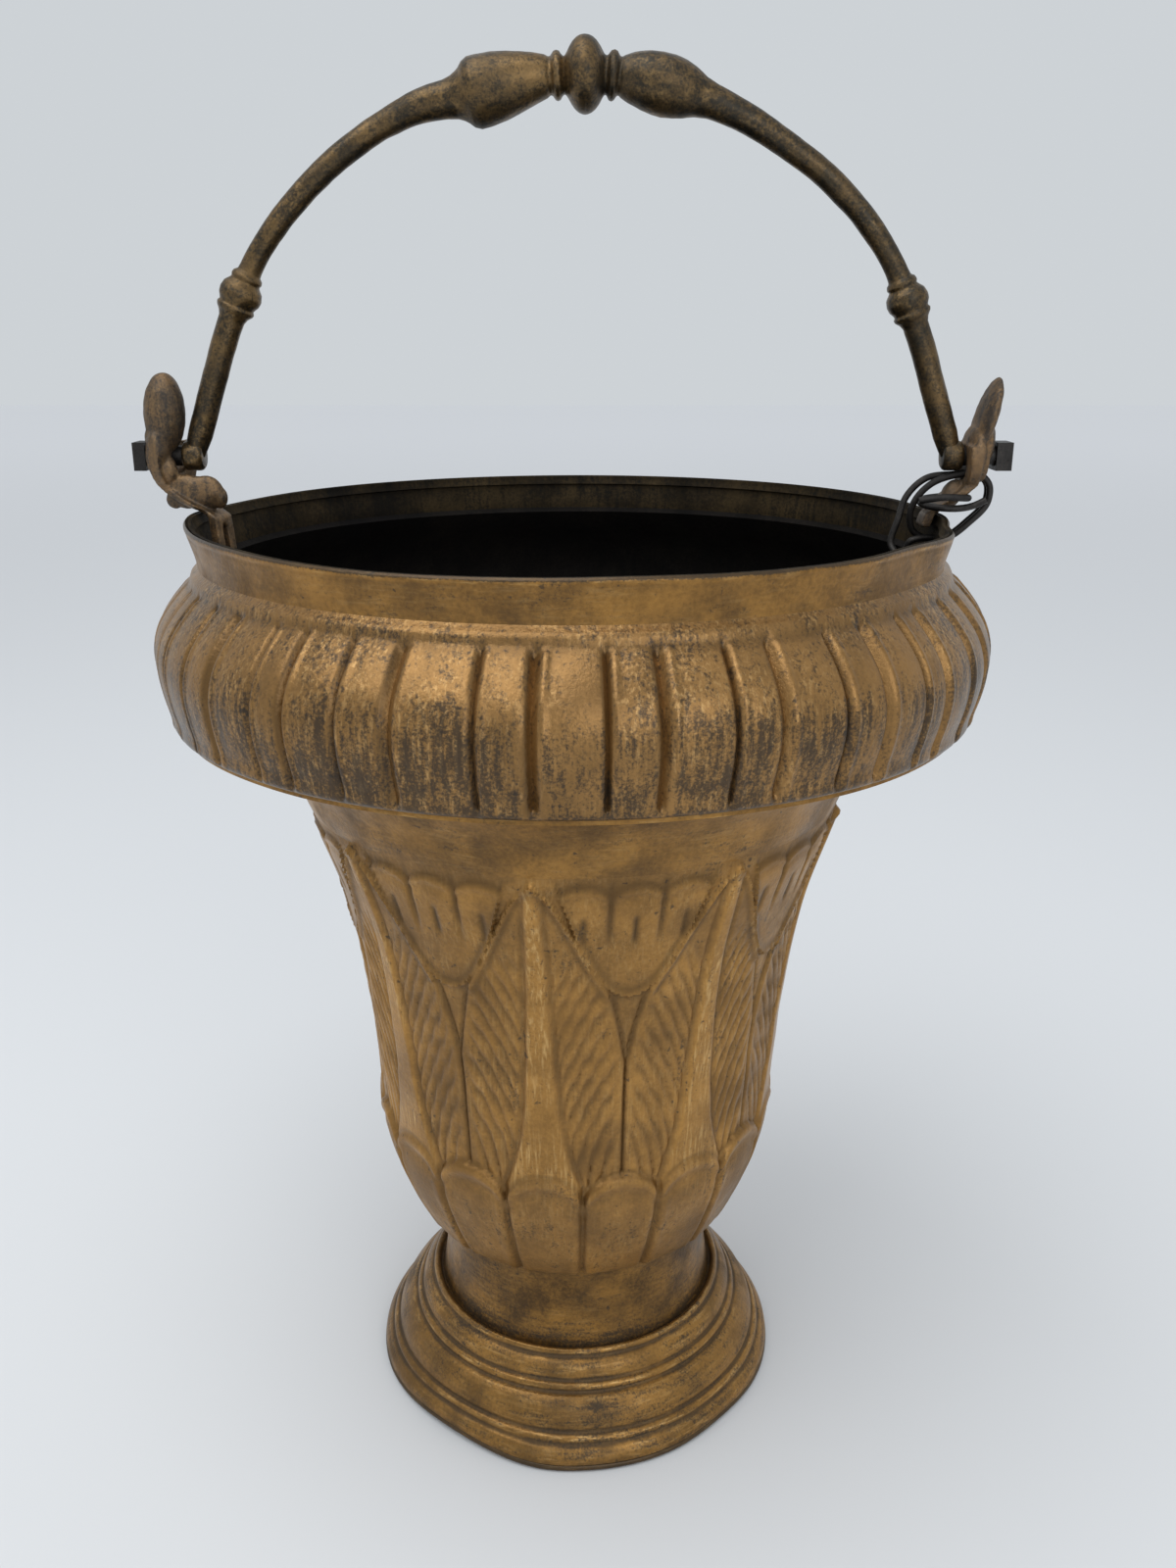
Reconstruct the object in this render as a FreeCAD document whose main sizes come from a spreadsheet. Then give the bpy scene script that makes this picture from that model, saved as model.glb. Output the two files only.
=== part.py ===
import FreeCAD, Part
import math
import os

import Sketcher

# An embossed sheet-metal bucket on a stepped foot, with a cast bail that swings in two ears.
# Millimetres, +Z up. The origin is the middle of the circle that the foot stands on.
# The bail hangs in the XZ plane and swings about a line along X.

SIZES = {
    # Sheet and seams
    "sheet": 1.2,
    "solder_film": 0.05,
    "seam_gap": 0.3,
    # Foot
    "foot_edge_radius": 68.9,
    "foot_edge_depth": 2.9,
    "foot_edge_height": 2.6,
    "foot_edge_round": 1.5,
    "foot_wall": 1.5,
    "foot_lip_inset": 0.1,
    "foot_lip_curve": 12.0,
    "foot_low_bead_inset": 3.8,
    "foot_low_bead_rise": 6.6,
    "foot_torus_inset": 2.0,
    "foot_torus_rise": 3.6,
    "foot_torus_curve": 10.0,
    "foot_bead_curve": 2.2,
    "foot_high_bead_inset": 6.6,
    "foot_high_bead_rise": 9.0,
    "foot_hollow_inset": 2.0,
    "foot_hollow_rise": 3.0,
    "foot_hollow_curve": 10.0,
    "foot_shelf_inset": 4.2,
    "foot_shelf_drop": 1.4,
    "foot_shelf_rise": 6.4,
    # Neck between foot and cup
    "spool_inset": 4.2,
    "spool_rise": 30.8,
    "spool_waist_curve": 79.0,
    "spool_flange": 2.6,
    "spool_top_flange": 5.0,
    # Cup
    "cup_bottom_overhang": 4.0,
    "cup_waist_swell": 15.0,
    "cup_waist_rise": 46.0,
    "cup_border_swell": 17.2,
    "cup_border_rise": 101.0,
    "cup_flare_swell": 21.8,
    "cup_flare_rise": 29.8,
    "cup_flare_curve": 55.0,
    "cup_lip_width": 13.4,
    "leaf_count": 9,
    "leaf_turn": 13.0,
    "leaf_relief": 1.1,
    "leaf_border": 1.5,
    "leaf_line": 1.8,
    "leaf_gap_rise": 62.5,
    "leaf_gap_foot": 9.0,
    "leaf_gap_share": 0.93,
    "petal_count": 18,
    "petal_relief": 1.6,
    "petal_slot": 1.8,
    "petal_arch_share": 0.82,
    "petal_overlap": 1.0,
    "petal_ring_width": 3.0,
    "petal_ring_swell": 1.2,
    "petal_ring_drop": 6.0,
    "petal_ring_round": 6.0,
    # Shoulder
    "gadroon_count": 25,
    "gadroon_turn": -4.0,
    "gadroon_relief": 1.1,
    "gadroon_share": 0.57,
    "crease_width": 2.6,
    "fine_crease_width": 1.6,
    "crease_low_margin": 4.2,
    "crease_high_margin": 4.0,
    "shoulder_edge_overhang": 1.4,
    "shoulder_flange_width": 12.8,
    "shoulder_swell": 3.6,
    "shoulder_rise": 19.2,
    "shoulder_turn": 19.0,
    # Mouth
    "neck_inset": 11.0,
    "neck_rise": 24.0,
    "rim_flare": 2.2,
    "rim_rise": 11.2,
    "mouth_band_thickness": 0.9,
    "mouth_band_height": 3.2,
    # Bail
    "pivot_rise": 16.8,
    "bail_overhang": 1.0,
    "bail_hub_rise": 5.1,
    "arm_inset": 16.3,
    "arm_angle": 63.5,
    "arm_radius": 3.7,
    "grip_angle": 17.0,
    "grip_rise_angle": 5.1,
    "grip_rise_share": 0.62,
    "grip_swell_angle": 10.5,
    "grip_fall_angle": 14.3,
    "grip_fall_share": 0.88,
    "left_grip_radius": 8.6,
    "right_grip_radius": 7.6,
    "grip_neck_radius": 5.0,
    "centre_knop_radius": 10.0,
    "centre_knop_side_radius": 5.6,
    "centre_knop_half_length": 5.2,
    "centre_knop_curve": 14.0,
    "ring_radius": 6.2,
    "ring_width": 3.1,
    "side_knop_radius": 5.9,
    "side_knop_bead": 6.4,
    "side_knop_ring_radius": 4.7,
    "side_knop_ring": 2.2,
    "shank_radius": 3.5,
    "shank_taper": 3.5,
    # Pegs
    "knuckle_radius": 3.6,
    "knuckle_half_length": 2.8,
    "knuckle_bevel": 1.2,
    "peg_radius": 2.9,
    "peg_length": 16.8,
    "peg_head_side": 8.0,
    "left_head_gap": 0.4,
    "right_head_gap": 2.8,
    "side_clearance": 0.4,
    # Ears
    "ear_plate": 3.8,
    "ear_boss": 2.4,
    "ear_boss_radius": 7.6,
    "ear_hole_radius": 5.0,
    "ear_top": 21.5,
    "ear_curl_start": 6.0,
    "ear_curl_reach": 7.6,
    "ear_tip_thickness": 3.0,
    "ear_shell_half_width": 9.5,
    "ear_shell_height": 3.0,
    "ear_shell_curve": 11.0,
    "ear_crown_curve": 16.2,
    "ear_waist_half_width": 6.4,
    "ear_waist_drop": 8.0,
    "ear_lobe_curve": 4.3,
    "ear_stem_half_width": 4.2,
    "ear_stem_thickness": 2.8,
    "ear_stem_drop": 15.0,
    "left_ear_twist": 20.0,
    "right_ear_twist": 0.0,
    "left_stem_drop": 10.2,
    "right_stem_drop": 3.6,
    "left_fork_half_width": 1.1,
    "left_fork_height": 7.0,
    "left_fork_round": 1.16,
    # Wire
    "wire_radius": 1.0,
    "wire_hole_radius": 3.2,
    "wire_hole_rise": 4.2,
    "strand_half_gap": 0.3,
    "tie_slack": 0.9,
    "twist_radius": 1.45,
    "twist_pitch": 11.0,
    "twist_turns": 1.5,
}

# Sizes that follow from the ones above, as the sheet works them out
FOLLOWING = {
    "foot_lip_radius": "foot_edge_radius - foot_lip_inset",
    "foot_low_bead_radius": "foot_lip_radius - foot_low_bead_inset",
    "foot_low_bead_height": "foot_edge_height + foot_low_bead_rise",
    "foot_torus_radius": "foot_low_bead_radius - foot_torus_inset",
    "foot_torus_height": "foot_low_bead_height + foot_torus_rise",
    "foot_high_bead_radius": "foot_torus_radius - foot_high_bead_inset",
    "foot_high_bead_height": "foot_torus_height + foot_high_bead_rise",
    "foot_hollow_radius": "foot_high_bead_radius - foot_hollow_inset",
    "foot_hollow_height": "foot_high_bead_height + foot_hollow_rise",
    "foot_shelf_radius": "foot_hollow_radius - foot_shelf_inset",
    "foot_height": "foot_hollow_height + foot_shelf_rise",
    "spool_radius": "foot_shelf_radius - spool_inset",
    "cup_bottom_radius": "spool_radius + cup_bottom_overhang",
    "cup_bottom_height": "foot_height + spool_rise",
    "cup_waist_radius": "cup_bottom_radius + cup_waist_swell",
    "cup_waist_height": "cup_bottom_height + cup_waist_rise",
    "petal_ring_radius": "cup_waist_radius + petal_ring_swell",
    "petal_ring_height": "cup_waist_height - petal_ring_drop",
    "cup_border_radius": "cup_waist_radius + cup_border_swell",
    "cup_border_height": "cup_waist_height + cup_border_rise",
    "cup_flare_radius": "cup_border_radius + cup_flare_swell",
    "cup_lip_radius": "cup_flare_radius + cup_lip_width",
    "shoulder_bottom_height": "cup_border_height + cup_flare_rise",
    "shoulder_edge_radius": "cup_lip_radius + shoulder_edge_overhang",
    "shoulder_flange_radius": "shoulder_edge_radius - shoulder_flange_width",
    "shoulder_radius": "shoulder_edge_radius + shoulder_swell",
    "shoulder_height": "shoulder_bottom_height + shoulder_rise",
    "neck_radius": "shoulder_edge_radius - neck_inset",
    "neck_height": "shoulder_height + neck_rise",
    "rim_radius": "neck_radius + rim_flare",
    "rim_height": "neck_height + rim_rise",
    "pivot_height": "rim_height + pivot_rise",
    "bail_half_span": "rim_radius + bail_overhang",
    "arm_curve": "bail_half_span - arm_inset",
    "bail_height": "arm_curve + bail_hub_rise",
    "peg_reach": "bail_half_span + peg_length",
    "left_stem_bottom": "rim_height - left_stem_drop",
    "right_stem_bottom": "rim_height - right_stem_drop",
    "wire_hole_height": "neck_height + wire_hole_rise",
}

STEP_FOLDER = "parts"
FULL_TURN = 360.0
HALF_TURN = 180.0
COUNTER_CLOCKWISE = 1
CLOCKWISE = -1
TWIST_OPENING = 1.6

doc = FreeCAD.newDocument("Bucket")
sheet_of_sizes = doc.addObject("Spreadsheet::Sheet", "Sizes")


class Size:
    """A number that also keeps the cell formula it comes from."""

    def __init__(self, value, formula):
        self.value = float(value)
        self.formula = formula

    def __add__(self, other):
        other = as_size(other)
        return Size(self.value + other.value, f"({self.formula} + {other.formula})")

    def __radd__(self, other):
        return as_size(other) + self

    def __sub__(self, other):
        other = as_size(other)
        return Size(self.value - other.value, f"({self.formula} - {other.formula})")

    def __rsub__(self, other):
        return as_size(other) - self

    def __mul__(self, other):
        other = as_size(other)
        return Size(self.value * other.value, f"({self.formula} * {other.formula})")

    def __rmul__(self, other):
        return as_size(other) * self

    def __truediv__(self, other):
        other = as_size(other)
        return Size(self.value / other.value, f"({self.formula} / {other.formula})")

    def __neg__(self):
        return Size(-self.value, f"(0 - {self.formula})")


def as_size(number):
    """A plain number as a Size."""
    if isinstance(number, Size):
        return number
    return Size(number, repr(float(number)))


def square(size):
    return size * size


def root(size):
    return Size(math.sqrt(size.value), f"sqrt({size.formula})")


def sine(angle):
    angle = as_size(angle)
    return Size(math.sin(math.radians(angle.value)), f"sin({angle.formula} * 1 deg)")


def cosine(angle):
    angle = as_size(angle)
    return Size(math.cos(math.radians(angle.value)), f"cos({angle.formula} * 1 deg)")


def angle_of(rise, run):
    """The angle, in degrees, of a slope."""
    value = math.degrees(math.atan2(rise.value, run.value))
    return Size(value, f"(atan2({rise.formula}; {run.formula}) / 1 deg)")


def angle_with_cosine(ratio):
    return Size(math.degrees(math.acos(ratio.value)), f"(acos({ratio.formula}) / 1 deg)")


def fill_sheet():
    """Write every driving size into the spreadsheet and return them as Sizes."""
    sizes = {}
    for row, (name, value) in enumerate(SIZES.items(), start=1):
        sheet_of_sizes.set(f"A{row}", name)
        sheet_of_sizes.set(f"B{row}", str(value))
        sheet_of_sizes.setAlias(f"B{row}", name)
        sizes[name] = Size(value, f"Sizes.{name}")
    for row, (name, formula) in enumerate(FOLLOWING.items(), start=len(SIZES) + 1):
        sheet_of_sizes.set(f"A{row}", name)
        sheet_of_sizes.set(f"B{row}", f"={formula}")
        sheet_of_sizes.setAlias(f"B{row}", name)
    doc.recompute()
    for name in FOLLOWING:
        sizes[name] = Size(float(sheet_of_sizes.get(name)), f"Sizes.{name}")
    return sizes


class Line:
    """A straight step of an outline."""

    def __init__(self, across, up):
        self.end = (as_size(across), as_size(up))


class Arc:
    """A round step of an outline, of less than half a circle."""

    def __init__(self, across, up, radius, turn):
        self.end = (as_size(across), as_size(up))
        self.radius = as_size(radius)
        self.turn = turn


def flat_point(place):
    return FreeCAD.Vector(place[0].value, place[1].value, 0)


def arc_geometry(start, end, radius, turn):
    """The arc from start to end; a clockwise one is drawn from its end."""
    first, last = (start, end) if turn == COUNTER_CLOCKWISE else (end, start)
    chord = last - first
    half = chord.Length / 2
    height = math.sqrt(max(radius * radius - half * half, 0.0))
    left = FreeCAD.Vector(-chord.y, chord.x, 0).normalize()
    centre = first + chord * 0.5 + left * height
    angles = [math.atan2(p.y - centre.y, p.x - centre.x) for p in (first, last)]
    circle = Part.Circle(centre, FreeCAD.Vector(0, 0, 1), radius)
    return Part.ArcOfCircle(circle, angles[0], angles[1])


def fix_point(sketch, geometry, vertex, place):
    """Tie one vertex of a sketch to its two formulas."""
    for kind, size, axis in (("DistanceX", place[0], -2), ("DistanceY", place[1], -1)):
        if size.formula == "0.0":
            sketch.addConstraint(Sketcher.Constraint("PointOnObject", geometry, vertex, axis))
            continue
        row = sketch.addConstraint(
            Sketcher.Constraint(kind, -1, 1, geometry, vertex, size.value))
        sketch.setExpression(f"Constraints[{row}]", size.formula)


def draw_path(sketch, start, steps, closed):
    """Draw lines and arcs through the steps, each vertex and radius bound to its formula."""
    start = (as_size(start[0]), as_size(start[1]))
    ends = []
    here = start
    for step in steps:
        if isinstance(step, Arc):
            shape = arc_geometry(flat_point(here), flat_point(step.end), step.radius.value, step.turn)
            first, last = (1, 2) if step.turn == COUNTER_CLOCKWISE else (2, 1)
        else:
            shape = Part.LineSegment(flat_point(here), flat_point(step.end))
            first, last = 1, 2
        geometry = sketch.addGeometry(shape, False)
        ends.append((geometry, first, last))
        here = step.end
    for (left, _, left_end), (right, right_start, _) in zip(ends, ends[1:]):
        sketch.addConstraint(Sketcher.Constraint("Coincident", left, left_end, right, right_start))
    if closed:
        last_row, first_row = ends[-1], ends[0]
        sketch.addConstraint(Sketcher.Constraint(
            "Coincident", last_row[0], last_row[2], first_row[0], first_row[1]))
    else:
        fix_point(sketch, ends[0][0], ends[0][1], start)
    for step, (geometry, _, last) in zip(steps, ends):
        fix_point(sketch, geometry, last, step.end)
        if isinstance(step, Arc):
            row = sketch.addConstraint(
                Sketcher.Constraint("Radius", geometry, step.radius.value))
            sketch.setExpression(f"Constraints[{row}]", step.radius.formula)


def draw_circle(sketch, across, up, radius):
    """Draw one circle bound to its formulas."""
    place = (as_size(across), as_size(up))
    radius = as_size(radius)
    circle = Part.Circle(flat_point(place), FreeCAD.Vector(0, 0, 1), radius.value)
    geometry = sketch.addGeometry(circle, False)
    fix_point(sketch, geometry, 3, place)
    row = sketch.addConstraint(Sketcher.Constraint("Radius", geometry, radius.value))
    sketch.setExpression(f"Constraints[{row}]", radius.formula)


class Piece:
    """One sub-part: a body with its own label, placement, sketches and features."""

    def __init__(self, name):
        self.body = doc.addObject("PartDesign::Body", name)
        self.body.Label = name

    def place(self, across=0.0, up=0.0, turn=0.0):
        """Put the body at (across, 0, up), turned about Z."""
        across, up, turn = as_size(across), as_size(up), as_size(turn)
        axis = FreeCAD.Vector(0, 0, 1)
        base = FreeCAD.Vector(across.value, 0, up.value)
        self.body.Placement = FreeCAD.Placement(base, FreeCAD.Rotation(axis, turn.value))
        self.body.setExpression("Placement.Base.x", across.formula)
        self.body.setExpression("Placement.Base.z", up.formula)
        if turn.value:
            self.body.setExpression("Placement.Rotation.Angle", turn.formula)

    def origin(self, role):
        return next(item for item in self.body.Origin.OriginFeatures if item.Role == role)

    def sketch(self, name, plane):
        sketch = self.body.newObject("Sketcher::SketchObject", name)
        sketch.AttachmentSupport = (self.origin(plane), [""])
        sketch.MapMode = "FlatFace"
        return sketch

    def outline(self, name, start, steps, plane="XZ_Plane", closed=True):
        sketch = self.sketch(name, plane)
        draw_path(sketch, start, steps, closed)
        return sketch

    def circle(self, name, radius, across=0.0, up=0.0, plane="YZ_Plane"):
        sketch = self.sketch(name, plane)
        draw_circle(sketch, across, up, radius)
        return sketch

    def shift(self, sketch, along):
        """Move a sketch along its own normal."""
        along = as_size(along)
        sketch.AttachmentOffset = FreeCAD.Placement(
            FreeCAD.Vector(0, 0, along.value), FreeCAD.Rotation())
        sketch.setExpression("AttachmentOffset.Base.z", along.formula)

    def feature(self, kind, name, **settings):
        """Add a feature; Size settings are bound as formulas."""
        item = self.body.newObject(f"PartDesign::{kind}", name)
        for key, value in settings.items():
            if isinstance(value, Size):
                setattr(item, key, value.value)
                item.setExpression(key, value.formula)
            else:
                setattr(item, key, value)
        return item

    def revolve(self, sketch, axis="Z_Axis", angle=None, kind="Revolution"):
        """Turn an outline about one of the body's own axes."""
        item = self.feature(kind, f"{kind}Of{sketch.Name}", Profile=sketch)
        item.ReferenceAxis = (self.origin(axis), [""])
        item.Angle = FULL_TURN
        if angle is not None:
            item.Angle = angle.value
            item.setExpression("Angle", angle.formula)
        return item

    def swing(self, sketch, angle):
        """Turn an upright sketch about the body's own Z axis."""
        axis = FreeCAD.Vector(0, 1, 0)
        sketch.AttachmentOffset = FreeCAD.Placement(
            FreeCAD.Vector(), FreeCAD.Rotation(axis, angle.value))
        sketch.setExpression("AttachmentOffset.Rotation.Angle", angle.formula)

    def cut_round(self, sketch, name, reach, count):
        """Cut an outline outward from the axis, and repeat the cut all the way round."""
        doc.recompute()
        before = self.body.Shape.Volume
        cut = self.feature("Pocket", name, Profile=sketch, Length=reach)
        cut.Reversed = True
        doc.recompute()
        ring = self.feature("PolarPattern", f"{name}Ring")
        ring.Originals = [cut]
        ring.Axis = (self.origin("Z_Axis"), [""])
        ring.Angle = FULL_TURN
        ring.Occurrences = int(count.value)
        ring.setExpression("Occurrences", count.formula)
        self.body.Tip = ring
        doc.recompute()
        if not self.body.Shape.Volume < before:
            raise RuntimeError(f"{name} of {self.body.Label} cuts nothing")
        return ring

    def cut_through(self, sketch, name):
        """Cut an outline right through the body, both ways."""
        doc.recompute()
        before = self.body.Shape.Volume
        item = self.feature("Pocket", name, Profile=sketch)
        item.Type = "ThroughAll"
        item.Midplane = True
        doc.recompute()
        if not self.body.Shape.Volume < before:
            raise RuntimeError(f"{name} of {self.body.Label} cuts nothing")
        return item


def build_foot(size):
    """The rolled edge, the stepped hollow foot and the neck on it."""
    edge = Piece("foot_edge")
    inside = size["foot_edge_radius"] - size["foot_edge_depth"]
    edge.revolve(edge.outline("EdgeSection", (inside, 0.0), [
        Line(size["foot_edge_radius"], 0.0),
        Arc(size["foot_edge_radius"], size["foot_edge_height"], size["foot_edge_round"],
            COUNTER_CLOCKWISE),
        Line(inside, size["foot_edge_height"]),
        Line(inside, 0.0),
    ]))

    base = Piece("foot_base")
    wall = size["foot_wall"]
    shelf_under = size["foot_height"] - size["sheet"]
    shelf_edge = size["foot_height"] - size["foot_shelf_drop"]
    hole = size["spool_radius"] + size["solder_film"]
    base.revolve(base.outline("BaseSection", (size["foot_lip_radius"] - wall, size["foot_edge_height"]), [
        Line(size["foot_lip_radius"], size["foot_edge_height"]),
        Arc(size["foot_low_bead_radius"], size["foot_low_bead_height"], size["foot_lip_curve"], CLOCKWISE),
        Arc(size["foot_torus_radius"], size["foot_torus_height"], size["foot_bead_curve"],
            COUNTER_CLOCKWISE),
        Arc(size["foot_high_bead_radius"], size["foot_high_bead_height"], size["foot_torus_curve"],
            COUNTER_CLOCKWISE),
        Arc(size["foot_hollow_radius"], size["foot_hollow_height"], size["foot_bead_curve"],
            COUNTER_CLOCKWISE),
        Arc(size["foot_shelf_radius"], shelf_edge, size["foot_hollow_curve"], CLOCKWISE),
        Line(size["foot_shelf_radius"], size["foot_height"]),
        Line(hole, size["foot_height"]),
        Line(hole, shelf_under),
        Line(size["foot_shelf_radius"] - wall, shelf_under),
        Arc(size["foot_hollow_radius"] - wall, size["foot_hollow_height"], size["foot_hollow_curve"],
            COUNTER_CLOCKWISE),
        Line(size["foot_high_bead_radius"] - wall, size["foot_high_bead_height"]),
        Line(size["foot_torus_radius"] - wall, size["foot_torus_height"]),
        Line(size["foot_low_bead_radius"] - wall, size["foot_low_bead_height"]),
        Arc(size["foot_lip_radius"] - wall, size["foot_edge_height"], size["foot_lip_curve"],
            COUNTER_CLOCKWISE),
    ]))

    spool = Piece("foot_spool")
    outer = size["spool_radius"]
    inner = outer - size["sheet"]
    top = size["cup_bottom_height"]
    under_top = top - size["sheet"]
    flange_bottom = shelf_under - size["sheet"]
    spool.revolve(spool.outline("SpoolSection", (inner, flange_bottom), [
        Line(outer + size["spool_flange"], flange_bottom),
        Line(outer + size["spool_flange"], shelf_under),
        Line(outer, shelf_under),
        Line(outer, size["foot_height"]),
        Arc(outer, under_top, size["spool_waist_curve"], CLOCKWISE),
        Line(outer, top),
        Line(outer - size["spool_top_flange"], top),
        Line(outer - size["spool_top_flange"], under_top),
        Line(inner, under_top),
        Arc(inner, size["foot_height"], size["spool_waist_curve"] + size["sheet"], COUNTER_CLOCKWISE),
        Line(inner, flange_bottom),
    ]))


def tangent_curve(across, up):
    """The radius of an arc that starts upright and moves off by across over up."""
    return (square(across) + square(up)) / (2.0 * across)


def build_cup(size):
    """The cup: petals below, leaves above, and a thin wall with a closed bottom and a flared lip."""
    cup = Piece("cup")
    cup.place(turn=size["leaf_turn"])
    sheet = size["sheet"]
    bottom = size["cup_bottom_height"]
    floor = bottom + sheet
    top = size["shoulder_bottom_height"]
    lip_under = top - sheet
    waist_radius = size["cup_waist_radius"]
    waist_height = size["cup_waist_height"]
    border_radius = size["cup_border_radius"]
    border_height = size["cup_border_height"]
    petal_radius = size["petal_ring_radius"]
    petal_height = size["petal_ring_height"]
    belly_curve = tangent_curve(petal_radius - size["cup_bottom_radius"], petal_height - bottom)
    wall_curve = tangent_curve(border_radius - waist_radius, border_height - waist_height)
    petal_root = size["petal_relief"] + sheet / 2.0
    leaf_root = size["leaf_relief"] + sheet / 2.0

    def belly(inset, height):
        """The radius of the belly at a height, measured inward from the petals."""
        rise = square(belly_curve - inset) - square(petal_height - height)
        return petal_radius - belly_curve + root(rise)

    # Petals, joined by a ring below
    cup.revolve(cup.outline("PetalSection", (belly(petal_root, bottom), bottom), [
        Line(size["cup_bottom_radius"], bottom),
        Arc(petal_radius, petal_height, belly_curve, COUNTER_CLOCKWISE),
        Arc(waist_radius, waist_height, size["petal_ring_round"], COUNTER_CLOCKWISE),
        Line(waist_radius - leaf_root, waist_height),
        Line(petal_radius - petal_root, petal_height),
        Arc(belly(petal_root, bottom), bottom, belly_curve - petal_root, CLOCKWISE),
    ]))
    half_slot = size["petal_slot"] / 2.0
    half_petal = as_size(180.0) / size["petal_count"]
    arch = size["petal_arch_share"] * petal_radius * sine(half_petal) - half_slot
    arch_top = waist_height + size["petal_overlap"]
    slot_bottom = bottom + size["petal_ring_width"]
    slot = cup.outline("PetalSlot", (-half_slot, slot_bottom), [
        Line(half_slot, slot_bottom),
        Line(half_slot, arch_top - arch),
        Arc(half_slot + arch, arch_top, arch, CLOCKWISE),
        Line(-half_slot - arch, arch_top),
        Arc(-half_slot, arch_top - arch, arch, CLOCKWISE),
        Line(-half_slot, slot_bottom),
    ])
    cup.swing(slot, half_petal)
    cup.cut_round(slot, "PetalSlotCut", 2.0 * petal_radius, size["petal_count"])

    # Leaves, joined by a border above and standing behind the petals
    leaf_bottom = waist_height - size["petal_overlap"]
    cup.revolve(cup.outline("LeafSection", (waist_radius - leaf_root, leaf_bottom), [
        Line(waist_radius, leaf_bottom),
        Line(waist_radius, waist_height),
        Arc(border_radius, border_height, wall_curve, CLOCKWISE),
        Line(border_radius - leaf_root, border_height),
        Arc(waist_radius - leaf_root, waist_height, wall_curve + leaf_root, COUNTER_CLOCKWISE),
        Line(waist_radius - leaf_root, leaf_bottom),
    ]))
    half_line = size["leaf_line"] / 2.0
    half_gap = size["leaf_gap_foot"] / 2.0
    gap_bottom = waist_height + size["leaf_gap_rise"]
    gap_top = border_height - size["leaf_border"]
    wide = border_radius * sine(size["leaf_gap_share"] * 180.0 / size["leaf_count"])
    line_bottom = waist_height + size["petal_overlap"]
    line_top = gap_bottom - size["leaf_gap_foot"]
    gap = cup.outline("LeafGap", (-half_line, line_bottom), [
        Line(half_line, line_bottom),
        Line(half_line, line_top),
        Line(half_gap, gap_bottom),
        Line(wide, gap_top),
        Line(-wide, gap_top),
        Line(-half_gap, gap_bottom),
        Line(-half_line, line_top),
        Line(-half_line, line_bottom),
    ])
    cup.cut_round(gap, "LeafGapCut", 2.0 * border_radius, size["leaf_count"])

    # The wall that carries them
    petal_in = petal_radius - size["petal_relief"]
    waist_in = waist_radius - size["leaf_relief"]
    border_in = border_radius - size["leaf_relief"]
    wall_in = wall_curve + size["leaf_relief"]
    belly_in = belly_curve - size["petal_relief"]
    cup.revolve(cup.outline("CupSection", (0.0, bottom), [
        Line(belly(size["petal_relief"], bottom), bottom),
        Arc(petal_in, petal_height, belly_in, COUNTER_CLOCKWISE),
        Line(waist_in, waist_height),
        Arc(border_in, border_height, wall_in, CLOCKWISE),
        Arc(size["cup_flare_radius"], lip_under, size["cup_flare_curve"], CLOCKWISE),
        Line(size["cup_lip_radius"], lip_under),
        Line(size["cup_lip_radius"], top),
        Line(size["cup_flare_radius"] - sheet, top),
        Arc(border_in - sheet, border_height, size["cup_flare_curve"] + sheet, COUNTER_CLOCKWISE),
        Arc(waist_in - sheet, waist_height, wall_in + sheet, COUNTER_CLOCKWISE),
        Line(petal_in - sheet, petal_height),
        Arc(belly(size["petal_relief"] + sheet, floor), floor, belly_in - sheet, CLOCKWISE),
        Line(0.0, floor),
        Line(0.0, bottom),
    ]))


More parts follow.
